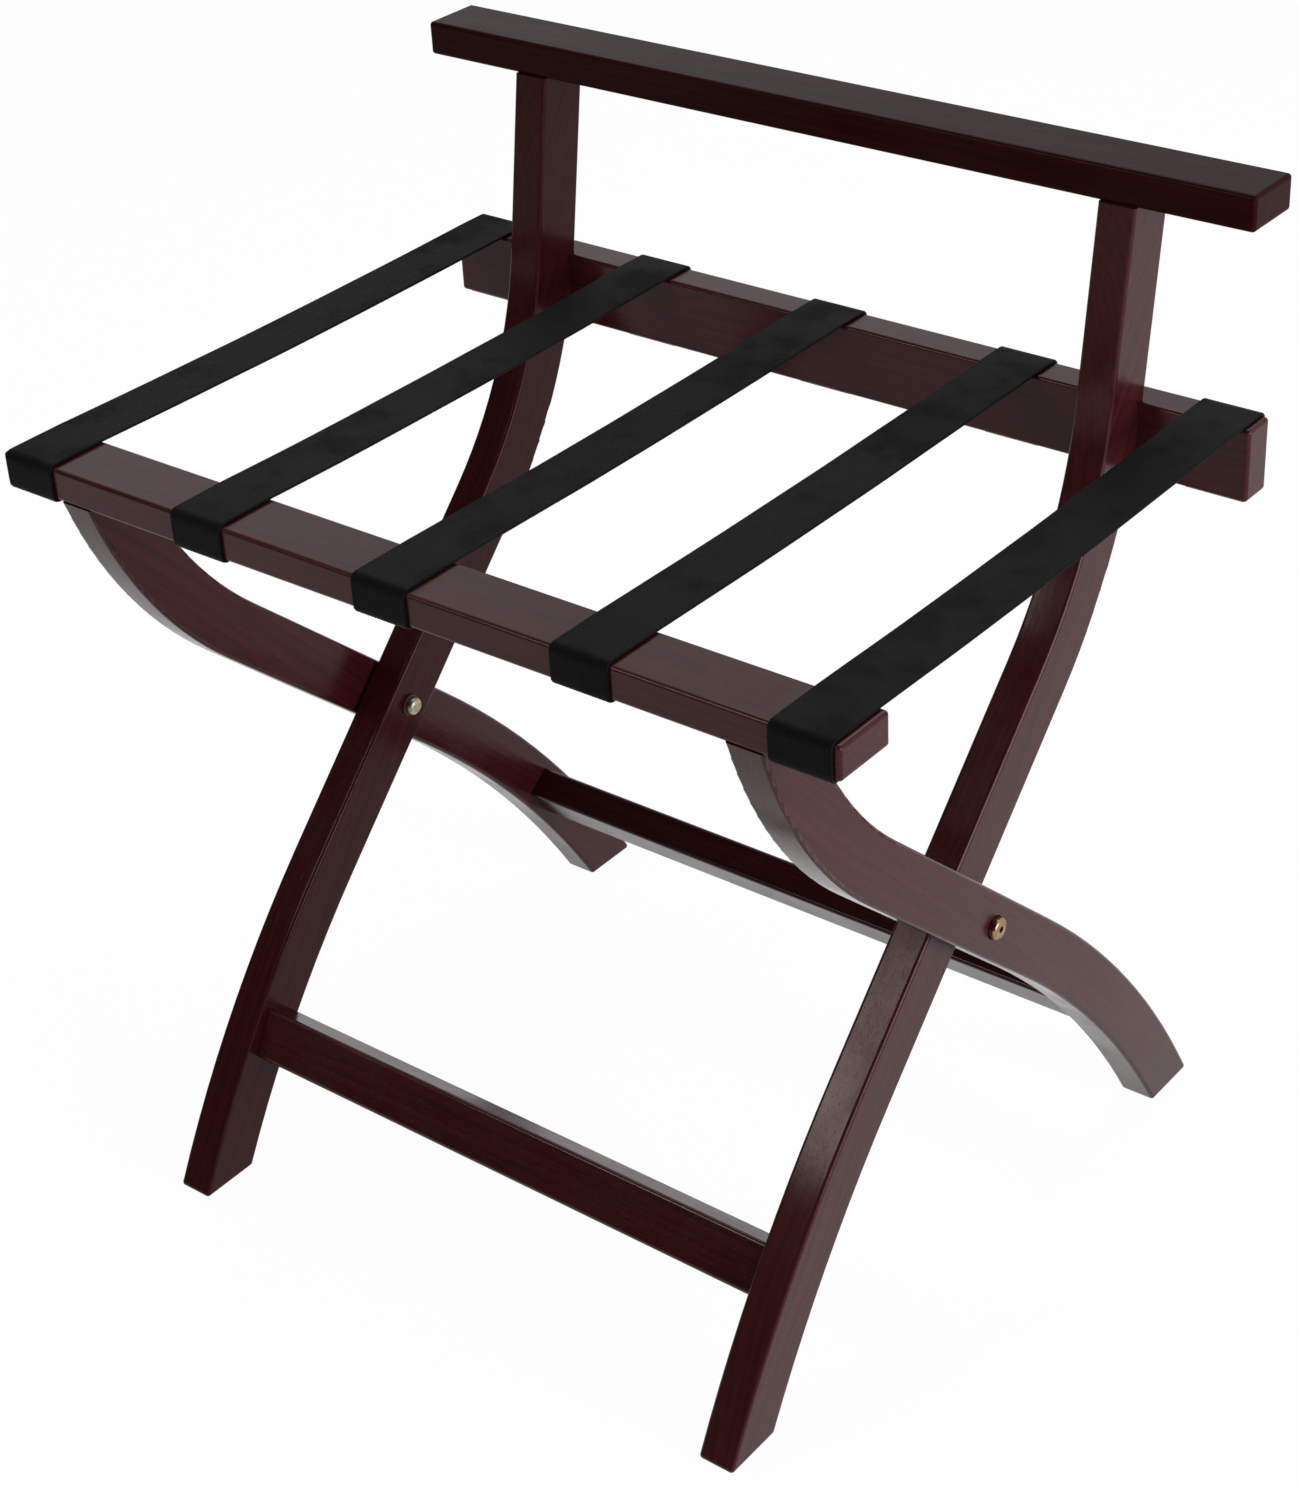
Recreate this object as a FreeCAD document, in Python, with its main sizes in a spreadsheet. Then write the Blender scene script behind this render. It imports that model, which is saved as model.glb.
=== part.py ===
import FreeCAD, Part
import Sketcher
import math
import os

# Folding luggage rack, in millimetres.
# X runs along the rails, Y from the front to the rear, Z up. The feet stand on Z = 0, and the
# origin lies midway between the foot tips and midway between the ends of the rails.
# The outer frame is the front rail, the two outer legs and the rear stretcher. The inner frame
# is the rear rail, the back bar, the two inner legs and the front stretcher. The two frames
# cross at a pivot bolt on each side, and webbing straps span from rail to rail.

Vector = FreeCAD.Vector

SIZES = {
    "rail_length": 610,
    "seat_height": 521,
    "back_height": 668,
    "foot_reach": 246,
    "pivot_y": -6,
    "pivot_rise": 5.5,
    "leg_thickness": 25,
    "leg_width": 39,
    "leg_gap": 2.2,
    "leg_round": 2.5,
    "outer_bow": 4.55,
    "outer_foot_bend": 900,
    "outer_shoulder_bend": 305,
    "inner_bow": 2.74,
    "inner_foot_bend": 775,
    "inner_shoulder_bend": 280,
    "post_slope": 81,
    "post_setback": 3.5,
    "rail_round": 2.5,
    "front_reach": 226,
    "front_rail_depth": 43.5,
    "front_rail_height": 21,
    "rear_rail_housing": 3,
    "rear_rail_depth": 24,
    "rear_rail_height": 47,
    "back_bar_y": 200,
    "back_bar_depth": 43,
    "back_bar_height": 22,
    "stretcher_width": 34,
    "stretcher_thickness": 23,
    "front_stretcher_z": 91,
    "front_stretcher_lean": 6,
    "rear_stretcher_z": 101,
    "rear_stretcher_lean": 1.5,
    "strap_width": 40,
    "strap_thickness": 1.8,
    "strap_margin": 3.5,
    "strap_leg_gap": 3.5,
    "strap_clearance": 0.3,
    "strap_front_tuck": 33,
    "strap_rear_tuck": 19,
    "bolt_diameter": 6,
    "bolt_head_diameter": 14,
    "bolt_head_height": 6.5,
    "bolt_head_round": 2,
    "bolt_socket_across": 4,
    "bolt_socket_depth": 2.4,
    "bolt_fit": 0.06,
    "bolt_end_gap": 1,
    "counterbore_diameter": 15.6,
    "counterbore_depth": 2,
    "pivot_clearance": 0.15,
    "spacer_diameter": 20,
    "washer_diameter": 15,
    "washer_thickness": 1.2,
    "nut_diameter": 12.4,
    "nut_height": 5.5,
    "nut_dome": 3.5,
    "nut_bore_depth": 4,
    "dowel_diameter": 8,
    "dowel_length": 30,
    "dowel_spacing": 15,
    "dowel_fit": 0.05,
    "dowel_rise": 13,
    "dowel_end_gap": 1,
    "screw_diameter": 4,
    "screw_length": 42,
    "screw_head_diameter": 8,
    "screw_head_height": 3,
    "screw_spacing": 26,
    "screw_recess_length": 5,
    "screw_recess_width": 1,
    "screw_recess_depth": 1.6,
    "staple_crown": 10,
    "staple_wire": 1.2,
    "staple_reach": 8,
    "staple_spacing": 12.5,
    "staple_setback": 6,
    "cut_overrun": 1,
}

STRAP_COUNT = 5
STAPLES_PER_END = 3
HOUSING_FLOOR = "rear_rail_seat"
SIDES = {"left": -1, "right": 1}
REARWARD, FORWARD = 1, -1

doc = FreeCAD.newDocument("luggage_rack")


# ---- the two sheets: driving sizes, and places worked out from them ----

def fill_sheet(label, cells):
    """A spreadsheet with a name and a value, or a formula, on each row."""
    sheet = doc.addObject("Spreadsheet::Sheet", label)
    for row, (alias, content) in enumerate(cells.items(), 1):
        sheet.set(f"A{row}", alias)
        sheet.set(f"B{row}", str(content))
        sheet.setAlias(f"B{row}", alias)
    return sheet


# The legs cross a little above half the seat's height. A leg's slope is that of the line from its
# pivot to its foot's tip, less its bow. The rear rail's seat is set once the inner leg is drawn.
PLACES = {
    "outer_face_x": "=Sizes.rail_length / 2 - Sizes.strap_margin - Sizes.strap_width"
                    " - Sizes.strap_leg_gap",
    "outer_leg_x": "=outer_face_x - Sizes.leg_thickness / 2",
    "inner_leg_x": "=outer_leg_x - Sizes.leg_thickness - Sizes.leg_gap",
    "end_strap_x": "=(Sizes.rail_length - Sizes.strap_width) / 2 - Sizes.strap_margin",
    "pivot_z": "=Sizes.seat_height / 2 + Sizes.pivot_rise",
    "outer_slope": "=atan(pivot_z / (Sizes.foot_reach - Sizes.pivot_y)) / 1 deg - Sizes.outer_bow",
    "inner_slope": "=atan(pivot_z / (Sizes.foot_reach + Sizes.pivot_y)) / 1 deg - Sizes.inner_bow",
    "outer_leg_top": "=Sizes.seat_height - Sizes.front_rail_height",
    "inner_leg_top": "=Sizes.back_height - Sizes.back_bar_height",
    "post_top_y": "=Sizes.back_bar_y - Sizes.post_setback",
    "front_rail_y": "=Sizes.front_rail_depth / 2 - Sizes.front_reach",
    "rear_rail_seat": "0",
    "rear_rail_y": "=rear_rail_seat + Sizes.rear_rail_depth / 2",
    "rear_rail_back": "=rear_rail_seat + Sizes.rear_rail_depth",
    "rear_rail_z": "=Sizes.seat_height - Sizes.rear_rail_height / 2",
    "rear_rail_underside": "=Sizes.seat_height - Sizes.rear_rail_height",
    "head_seat_x": "=outer_face_x - Sizes.counterbore_depth",
    "nut_seat_x": "=inner_leg_x - Sizes.leg_thickness / 2 - Sizes.pivot_clearance"
                  " - Sizes.washer_thickness",
    "staple_crown_z": "=-Sizes.strap_clearance - Sizes.strap_thickness",
    "front_staple_y": "=Sizes.strap_front_tuck - Sizes.front_reach - Sizes.staple_setback",
    "rear_staple_y": "=rear_rail_back - Sizes.strap_rear_tuck + Sizes.staple_setback",
}

sizes = fill_sheet("Sizes", SIZES)
doc.recompute()
places = fill_sheet("Places", PLACES)
doc.recompute()


def size(alias):
    """The number that a driving size or a derived place comes to."""
    return float(sizes.get(alias) if alias in SIZES else places.get(alias))


def bind(item, expressions):
    """Tie an object's properties to the sheets."""
    for name, expression in expressions.items():
        item.setExpression(name, expression)


# ---- building blocks ----

def new_body(node):
    return doc.addObject("PartDesign::Body", node)


def sketch_on(body, role, name):
    """A sketch on one of the body's own origin planes."""
    sketch = body.newObject("Sketcher::SketchObject", name)
    plane = next(feature for feature in body.Origin.OriginFeatures if feature.Role == role)
    sketch.AttachmentSupport = [(plane, "")]
    sketch.MapMode = "FlatFace"
    return sketch


def dimension(sketch, name, expression, *constraint):
    """A named constraint whose value follows the sheets."""
    index = sketch.addConstraint(Sketcher.Constraint(*constraint))
    sketch.renameConstraint(index, name)
    sketch.setExpression(f"Constraints.{name}", expression)


def add_line(sketch, start, end):
    """A line, as its index and the ids of its start and end points."""
    index = sketch.addGeometry(Part.LineSegment(Vector(*start, 0), Vector(*end, 0)), False)
    return index, 1, 2


def add_arc(sketch, centre, start, end):
    """The shorter arc from start to end about a centre, as add_line gives a line."""
    circle = Part.Circle(Vector(*centre, 0), Vector(0, 0, 1), math.dist(centre, start))
    start_angle = math.atan2(start[1] - centre[1], start[0] - centre[0])
    end_angle = math.atan2(end[1] - centre[1], end[0] - centre[0])
    if (end_angle - start_angle) % math.tau < math.pi:
        return sketch.addGeometry(Part.ArcOfCircle(circle, start_angle, end_angle), False), 1, 2
    return sketch.addGeometry(Part.ArcOfCircle(circle, end_angle, start_angle), False), 2, 1


def join_outline(sketch, pieces, corners):
    """Close an outline: a corner after the pieces listed in corners, tangent elsewhere."""
    for place, (index, _, end) in enumerate(pieces):
        following, start, _ = pieces[(place + 1) % len(pieces)]
        kind = "Coincident" if place in corners else "Tangent"
        sketch.addConstraint(Sketcher.Constraint(kind, index, end, following, start))


def centred_rectangle(sketch, width, height):
    """A rectangle about the sketch's origin, its two sizes given as expressions."""
    half = 10
    corners = [(-half, -half), (half, -half), (half, half), (-half, half)]
    lines = [add_line(sketch, corners[i], corners[(i + 1) % 4]) for i in range(4)]
    join_outline(sketch, lines, corners={0, 1, 2, 3})
    for direction, place in (("Horizontal", 0), ("Vertical", 1), ("Horizontal", 2), ("Vertical", 3)):
        sketch.addConstraint(Sketcher.Constraint(direction, lines[place][0]))
    sketch.addConstraint(Sketcher.Constraint("Symmetric", lines[0][0], 1, lines[2][0], 1, -1, 1))
    dimension(sketch, "width", width, "Distance", lines[0][0], 2 * half)
    dimension(sketch, "height", height, "Distance", lines[1][0], 2 * half)


def pad_symmetric(body, sketch, length):
    """A pad to both sides of its sketch, its whole length given as an expression."""
    pad = body.newObject("PartDesign::Pad", f"{body.Name}_pad")
    pad.Profile = sketch
    pad.SideType = "Symmetric"
    pad.setExpression("Length", length)
    doc.recompute()
    return pad


def round_edges(body, name, radius, chosen):
    """Fillet the body's edges that the chosen test picks."""
    base = body.Tip
    edges = [f"Edge{i}" for i, edge in enumerate(base.Shape.Edges, 1) if chosen(edge)]
    fillet = body.newObject("PartDesign::Fillet", f"{body.Name}_{name}")
    fillet.Base = (base, edges)
    fillet.setExpression("Radius", radius)
    doc.recompute()


def place(item, **coordinates):
    """Put an object at x, y and z, each given as an expression."""
    bind(item, {f"Placement.Base.{axis}": text for axis, text in coordinates.items()})


TURN_TO = {
    "+X": FreeCAD.Rotation(Vector(0, 1, 0), 90),
    "-X": FreeCAD.Rotation(Vector(0, 1, 0), -90),
    "+Y": FreeCAD.Rotation(Vector(1, 0, 0), -90),
    "-Y": FreeCAD.Rotation(Vector(1, 0, 0), 90),
    "+Z": FreeCAD.Rotation(),
    "-Z": FreeCAD.Rotation(Vector(1, 0, 0), 180),
}


def primitive(body, kind, name, expressions, direction="+Z", at=(0, 0, 0)):
    """A PartDesign primitive that grows along a direction from a point given as numbers."""
    feature = body.newObject(f"PartDesign::{kind}", f"{body.Name}_{name}")
    feature.Placement = FreeCAD.Placement(Vector(*at), TURN_TO[direction])
    bind(feature, expressions)
    return feature


def drill(body, name, diameter, depth, direction, at):
    """A round bore from a point into the body, and proof that it cut something."""
    before = body.Shape.Volume
    radius = f"({diameter}) / 2"
    primitive(body, "SubtractiveCylinder", name, {"Radius": radius, "Height": depth}, direction, at)
    doc.recompute()
    if not body.Shape.Volume < before:
        raise RuntimeError(f"{body.Name}: the bore {name} cuts nothing")


# ---- the S-curved legs ----

class LegCurve:
    """A leg's centreline: a straight through the pivot, bent down to the foot and up to the top.

    foot_side is +1 where the foot is at the rear and -1 where it is at the front. Points are
    (y, z). over is the normal on the leg's upper side, and down runs towards the foot.
    """

    def __init__(self, foot_side, slope, foot_bend, shoulder_bend):
        self.side = foot_side
        self.slope = math.radians(slope)
        self.foot_bend = foot_bend
        self.shoulder_bend = shoulder_bend
        self.half = size("leg_width") / 2
        self.pivot = (size("pivot_y"), size("pivot_z"))
        self.down = self.along(self.slope)
        self.over = self.normal(self.slope)
        tip = (foot_side * size("foot_reach"), 0)
        self.foot_centre = self.bend_centre(tip, self.down, -1, foot_bend, foot_bend + self.half)

    def along(self, slope):
        return self.side * math.cos(slope), -math.sin(slope)

    def normal(self, slope):
        return self.side * math.sin(slope), math.cos(slope)

    def offset(self, point, direction, distance):
        return point[0] + direction[0] * distance, point[1] + direction[1] * distance

    def bend_centre(self, target, direction, sign, bend, radius):
        """The centre, bend away from the straight, of the arc of this radius through target."""
        gap = (target[0] - self.pivot[0], target[1] - self.pivot[1])
        ahead = gap[0] * direction[0] + gap[1] * direction[1]
        aside = sign * (gap[0] * self.over[0] + gap[1] * self.over[1])
        run = ahead - math.sqrt(radius ** 2 - (aside - bend) ** 2)
        return self.offset(self.offset(self.pivot, direction, run), self.over, sign * bend)

    def at_height(self, centre, radius, height, towards):
        """Where the circle about a centre meets a height, on one side in y."""
        return centre[0] + towards * math.sqrt(radius ** 2 - (height - centre[1]) ** 2), height

    def back_at(self, height):
        """How far back the under side of a leg with a post is, at a height on its bend or post."""
        radius = self.shoulder_bend + self.half
        bend_end = self.offset(self.shoulder_centre, self.normal(self.post), -radius)
        if height < bend_end[1]:
            return self.at_height(self.shoulder_centre, radius, height, -self.side)[0]
        return bend_end[0] + (height - bend_end[1]) / math.tan(self.post)

    def low_point(self, height):
        """The centreline's point and slope at a height on the foot's bend."""
        point = self.at_height(self.foot_centre, self.foot_bend, height, self.side)
        slope = math.acos((height - self.foot_centre[1]) / self.foot_bend)
        return point, math.degrees(slope)

    def stretcher_seat(self):
        """The centre of the stretcher on this leg, and its slope: the leg's own and a lean."""
        end = "rear" if self.side == REARWARD else "front"
        centre, slope = self.low_point(size(f"{end}_stretcher_z"))
        return centre, slope + size(f"{end}_stretcher_lean")


def outer_leg_curve():
    curve = LegCurve(REARWARD, size("outer_slope"), size("outer_foot_bend"), size("outer_shoulder_bend"))
    front_corner = (-size("front_reach"), size("outer_leg_top"))
    up = (-curve.down[0], -curve.down[1])
    bend = curve.shoulder_bend
    curve.shoulder_centre = curve.bend_centre(front_corner, up, 1, bend, bend + curve.half)
    return curve


def inner_leg_curve():
    """The inner leg's curve, whose shoulder runs on into the straight, leaning post."""
    curve = LegCurve(FORWARD, size("inner_slope"), size("inner_foot_bend"), size("inner_shoulder_bend"))
    post = curve.post = math.radians(size("post_slope"))
    up = (-curve.down[0], -curve.down[1])
    rise = size("inner_leg_top") - curve.pivot[1]
    reach = size("post_top_y") - curve.pivot[0]
    meet = (reach * math.sin(post) - rise * math.cos(post)) / math.sin(post - curve.slope)
    run = meet - curve.shoulder_bend * math.tan((post - curve.slope) / 2)
    start = curve.offset(curve.pivot, up, run)
    curve.shoulder_centre = curve.offset(start, curve.over, curve.shoulder_bend)
    return curve


def leg_side(sketch, curve, offset, top_height, post_slope=None):
    """One long side of a leg, foot to top, as line and arc pieces at an offset from the centreline."""
    foot_radius = curve.foot_bend + offset
    shoulder_radius = curve.shoulder_bend - offset
    foot = curve.at_height(curve.foot_centre, foot_radius, 0, curve.side)
    straight_low = curve.offset(curve.foot_centre, curve.over, foot_radius)
    straight_high = curve.offset(curve.shoulder_centre, curve.over, -shoulder_radius)
    pieces = [
        add_arc(sketch, curve.foot_centre, foot, straight_low),
        add_line(sketch, straight_low, straight_high),
    ]
    if post_slope is None:
        top = curve.at_height(curve.shoulder_centre, shoulder_radius, top_height, -curve.side)
        return pieces + [add_arc(sketch, curve.shoulder_centre, straight_high, top)], foot, top
    post = math.radians(post_slope)
    post_low = curve.offset(curve.shoulder_centre, curve.normal(post), -shoulder_radius)
    rise = (top_height - post_low[1]) / math.sin(post)
    top = curve.offset(post_low, curve.along(post), -rise)
    pieces.append(add_arc(sketch, curve.shoulder_centre, straight_high, post_low))
    pieces.append(add_line(sketch, post_low, top))
    return pieces, foot, top


def leg_outline(sketch, curve, names, top_height, post_slope=None):
    """The whole outline of a leg, fully constrained, with its sizes bound to the sheets."""
    over, over_foot, over_top = leg_side(sketch, curve, curve.half, top_height, post_slope)
    under, under_foot, under_top = leg_side(sketch, curve, -curve.half, top_height, post_slope)
    top = add_line(sketch, over_top, under_top)
    foot = add_line(sketch, under_foot, over_foot)
    downward = [(index, end, start) for index, start, end in reversed(under)]
    outline = over + [top] + downward + [foot]
    count = len(over)
    join_outline(sketch, outline, corners={count - 1, count, 2 * count, 2 * count + 1})

    pivot = sketch.addGeometry(Part.Point(Vector(*curve.pivot, 0)), True)
    foot_arc, straight, shoulder_arc = over[0][0], over[1][0], over[2][0]
    for one, other in ((over[0], under[0]), (over[2], under[2])):
        sketch.addConstraint(Sketcher.Constraint("Coincident", one[0], 3, other[0], 3))
    for one, other in zip(over[1::2], under[1::2]):
        sketch.addConstraint(Sketcher.Constraint("Parallel", one[0], other[0]))
    for level in (top, foot):
        sketch.addConstraint(Sketcher.Constraint("Horizontal", level[0]))
    sketch.addConstraint(Sketcher.Constraint("PointOnObject", foot[0], 1, -1))

    half = "Sizes.leg_width / 2"
    dimension(sketch, "pivot_y", "Sizes.pivot_y", "DistanceX", -1, 1, pivot, 1, curve.pivot[0])
    dimension(sketch, "pivot_z", "Places.pivot_z", "DistanceY", -1, 1, pivot, 1, curve.pivot[1])
    dimension(sketch, "half_over", half, "Distance", pivot, 1, straight, curve.half)
    dimension(sketch, "half_under", half, "Distance", pivot, 1, under[1][0], curve.half)
    angle = math.atan2(-curve.down[1], -curve.down[0])
    dimension(sketch, "slope", names["slope"], "Angle", straight, angle)
    dimension(sketch, "foot_bend", f"{names['foot_bend']} + {half}", "Radius", foot_arc,
              curve.foot_bend + curve.half)
    dimension(sketch, "shoulder_bend", f"{names['shoulder_bend']} - {half}", "Radius", shoulder_arc,
              curve.shoulder_bend - curve.half)
    dimension(sketch, "foot_reach", names["foot_reach"], "DistanceX", -1, 1, foot[0], 2, over_foot[0])
    dimension(sketch, "top_height", names["top_height"], "DistanceY", -1, 1, top[0], 1, top_height)
    return over, top, under_top, over_top


def outer_leg_sketch(body, curve):
    sketch = sketch_on(body, "YZ_Plane", f"{body.Name}_outline")
    names = {
        "slope": "180 - Places.outer_slope",
        "foot_bend": "Sizes.outer_foot_bend",
        "shoulder_bend": "Sizes.outer_shoulder_bend",
        "foot_reach": "Sizes.foot_reach",
        "top_height": "Places.outer_leg_top",
    }
    _, top, under_top, _ = leg_outline(sketch, curve, names, size("outer_leg_top"))
    dimension(sketch, "front_reach", "-Sizes.front_reach", "DistanceX", -1, 1, top[0], 2, under_top[0])
    return sketch


def inner_leg_sketch(body, curve):
    sketch = sketch_on(body, "YZ_Plane", f"{body.Name}_outline")
    names = {
        "slope": "Places.inner_slope",
        "foot_bend": "Sizes.inner_foot_bend",
        "shoulder_bend": "Sizes.inner_shoulder_bend",
        "foot_reach": "-Sizes.foot_reach",
        "top_height": "Places.inner_leg_top",
    }
    slope = size("post_slope")
    over, top, _, over_top = leg_outline(sketch, curve, names, size("inner_leg_top"), slope)
    dimension(sketch, "post_slope", "Sizes.post_slope", "Angle", over[3][0], math.radians(slope))
    front = "Places.post_top_y - Sizes.leg_width / 2 / sin(Sizes.post_slope)"
    dimension(sketch, "post_top", front, "DistanceX", -1, 1, top[0], 1, over_top[0])
    return sketch


def leg_blank(node, sketcher, curve, top_height, centre_x):
    """A leg cut from its outline, with rounded arrises and a square top under its rail."""
    body = new_body(node)
    pad_symmetric(body, sketcher(body, curve), "Sizes.leg_thickness")

    def not_the_top(edge):
        return min(vertex.Z for vertex in edge.Vertexes) < top_height - 1e-3

    round_edges(body, "arrises", "Sizes.leg_round", not_the_top)
    place(body, x=centre_x)
    return body


def dowel_rows(curve):
    """The two dowel places of a stretcher on a leg, as (y, z)."""
    centre, slope = curve.stretcher_seat()
    direction = curve.along(math.radians(slope))
    step = size("dowel_spacing") / 2
    return [curve.offset(centre, direction, sign * step) for sign in (-1, 1)]


BOLT_BORE = "Sizes.bolt_diameter + 2 * Sizes.bolt_fit"
SCREW_BORE = "Sizes.screw_diameter + 2 * Sizes.dowel_fit"
DOWEL_BORE = "Sizes.dowel_diameter + 2 * Sizes.dowel_fit"
SIDE_DOWEL_DEPTH = "Sizes.dowel_length / 2 + Sizes.dowel_end_gap"
RISE_DEPTH = "Sizes.dowel_rise + Sizes.dowel_end_gap"
DROP_DEPTH = "Sizes.dowel_length - Sizes.dowel_rise + Sizes.dowel_end_gap"


def top_dowel_ys(centre_y):
    """The two dowel places along the top of a leg."""
    step = size("dowel_spacing") / 2
    return [centre_y - step, centre_y + step]


def drill_leg(body, curve, inward, top_y, top_height):
    """The stretcher's dowel bores in the leg's inner face, and the rail's in its top."""
    face_x = inward * size("leg_thickness") / 2
    direction = "-X" if inward > 0 else "+X"
    for number, (y, z) in enumerate(dowel_rows(curve), 1):
        drill(body, f"stretcher_bore_{number}", DOWEL_BORE, SIDE_DOWEL_DEPTH, direction, (face_x, y, z))
    for number, y in enumerate(top_dowel_ys(top_y), 1):
        drill(body, f"top_bore_{number}", DOWEL_BORE, DROP_DEPTH, "-Z", (0, y, top_height))


def outer_leg(side, sign):
    curve = outer_leg_curve()
    top = size("outer_leg_top")
    body = leg_blank(f"outer_leg_{side}", outer_leg_sketch, curve, top, f"{sign} * Places.outer_leg_x")
    outer_face = sign * size("leg_thickness") / 2
    inward = "-X" if sign > 0 else "+X"
    pivot_at = (outer_face, *curve.pivot)
    drill(body, "pivot_bore", BOLT_BORE, "Sizes.leg_thickness", inward, pivot_at)
    drill(body, "counterbore", "Sizes.counterbore_diameter", "Sizes.counterbore_depth", inward, pivot_at)
    drill_leg(body, curve, -sign, size("front_rail_y"), top)


def inner_leg(side, sign):
    curve = inner_leg_curve()
    top = size("inner_leg_top")
    body = leg_blank(f"inner_leg_{side}", inner_leg_sketch, curve, top, f"{sign} * Places.inner_leg_x")
    half = size("leg_thickness") / 2
    drill(body, "pivot_bore", BOLT_BORE, "Sizes.leg_thickness", "+X", (-half, *curve.pivot))
    before = body.Shape.Volume
    primitive(body, "SubtractiveBox", "rail_housing", {
        "Length": "Sizes.leg_thickness + 2 * Sizes.cut_overrun",
        "Width": "Sizes.rear_rail_depth",
        "Height": "Sizes.rear_rail_height",
    }, at=(-half - size("cut_overrun"), size("rear_rail_seat"), size("rear_rail_underside")))
    doc.recompute()
    if not body.Shape.Volume < before:
        raise RuntimeError(f"{body.Name}: the rear rail's housing cuts nothing")
    drill_leg(body, curve, -sign, size("post_top_y"), top)
    for number, z in enumerate(screw_heights(), 1):
        depth = "Sizes.screw_length - Sizes.rear_rail_depth + Sizes.dowel_end_gap"
        drill(body, f"screw_bore_{number}", SCREW_BORE, depth, "-Y", (0, size("rear_rail_seat"), z))


# ---- rails, back bar and stretchers ----

def bar(node, length, depth, height):
    """A straight bar along X about its own origin, its section given as expressions."""
    body = new_body(node)
    sketch = sketch_on(body, "YZ_Plane", f"{node}_section")
    centred_rectangle(sketch, depth, height)
    pad_symmetric(body, sketch, length)
    return body


def round_bar(body, ends):
    """Round a bar's long edges, and its end edges too where the ends show."""
    def chosen(edge):
        along_x = abs(edge.tangentAt(edge.FirstParameter).x) > 0.5
        return ends or along_x

    round_edges(body, "arrises", "Sizes.rail_round", chosen)


def leg_xs(place_name):
    return [sign * size(place_name) for sign in SIDES.values()]


def front_rail():
    body = bar("front_rail", "Sizes.rail_length", "Sizes.front_rail_depth", "Sizes.front_rail_height")
    round_bar(body, ends=True)
    underside = -size("front_rail_height") / 2
    for leg, x in enumerate(leg_xs("outer_leg_x"), 1):
        for number, y in enumerate(top_dowel_ys(0), 1):
            drill(body, f"bore_{leg}_{number}", DOWEL_BORE, RISE_DEPTH, "+Z", (x, y, underside))
    place(body, y="Places.front_rail_y", z="Sizes.seat_height - Sizes.front_rail_height / 2")


def back_bar():
    body = bar("back_bar", "Sizes.rail_length", "Sizes.back_bar_depth", "Sizes.back_bar_height")
    round_bar(body, ends=True)
    underside = -size("back_bar_height") / 2
    for leg, x in enumerate(leg_xs("inner_leg_x"), 1):
        for number, y in enumerate(top_dowel_ys(-size("post_setback")), 1):
            drill(body, f"bore_{leg}_{number}", DOWEL_BORE, RISE_DEPTH, "+Z", (x, y, underside))
    place(body, y="Sizes.back_bar_y", z="Sizes.back_height - Sizes.back_bar_height / 2")


def screw_heights():
    """The heights of the two screws in each post."""
    step = size("screw_spacing") / 2
    return [size("rear_rail_z") - step, size("rear_rail_z") + step]


def rear_rail():
    body = bar("rear_rail", "Sizes.rail_length", "Sizes.rear_rail_depth", "Sizes.rear_rail_height")
    round_bar(body, ends=True)
    rear_face = size("rear_rail_depth") / 2
    for leg, x in enumerate(leg_xs("inner_leg_x"), 1):
        for number, z in enumerate(screw_heights(), 1):
            at = (x, rear_face, z - size("rear_rail_z"))
            drill(body, f"bore_{leg}_{number}", SCREW_BORE, "Sizes.rear_rail_depth", "-Y", at)
            primitive(body, "SubtractiveCone", f"countersink_{leg}_{number}", {
                "Radius1": "Sizes.screw_head_diameter / 2 + Sizes.dowel_fit",
                "Radius2": "Sizes.screw_diameter / 2 + Sizes.dowel_fit",
                "Height": "Sizes.screw_head_height",
            }, "-Y", at)
    doc.recompute()
    place(body, y="Places.rear_rail_y", z="Places.rear_rail_z")


def stretcher(node, curve, leg_x):
    """A stretcher between a pair of legs, at its own height and slope."""
    body = bar(node, f"2 * {leg_x} - Sizes.leg_thickness", "Sizes.stretcher_width",
               "Sizes.stretcher_thickness")
    round_bar(body, ends=False)
    half_length = size(leg_x.split(".")[1]) - size("leg_thickness") / 2
    step = size("dowel_spacing") / 2
    for side, sign in SIDES.items():
        direction = "-X" if sign > 0 else "+X"
        for number, y in enumerate((-step, step), 1):
            at = (sign * half_length, y, 0)
            drill(body, f"bore_{side}_{number}", DOWEL_BORE, SIDE_DOWEL_DEPTH, direction, at)
    (y, z), slope = curve.stretcher_seat()
    turn = FreeCAD.Rotation(Vector(1, 0, 0), -curve.side * slope)
    body.Placement = FreeCAD.Placement(Vector(0, y, z), turn)


# ---- straps ----

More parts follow.
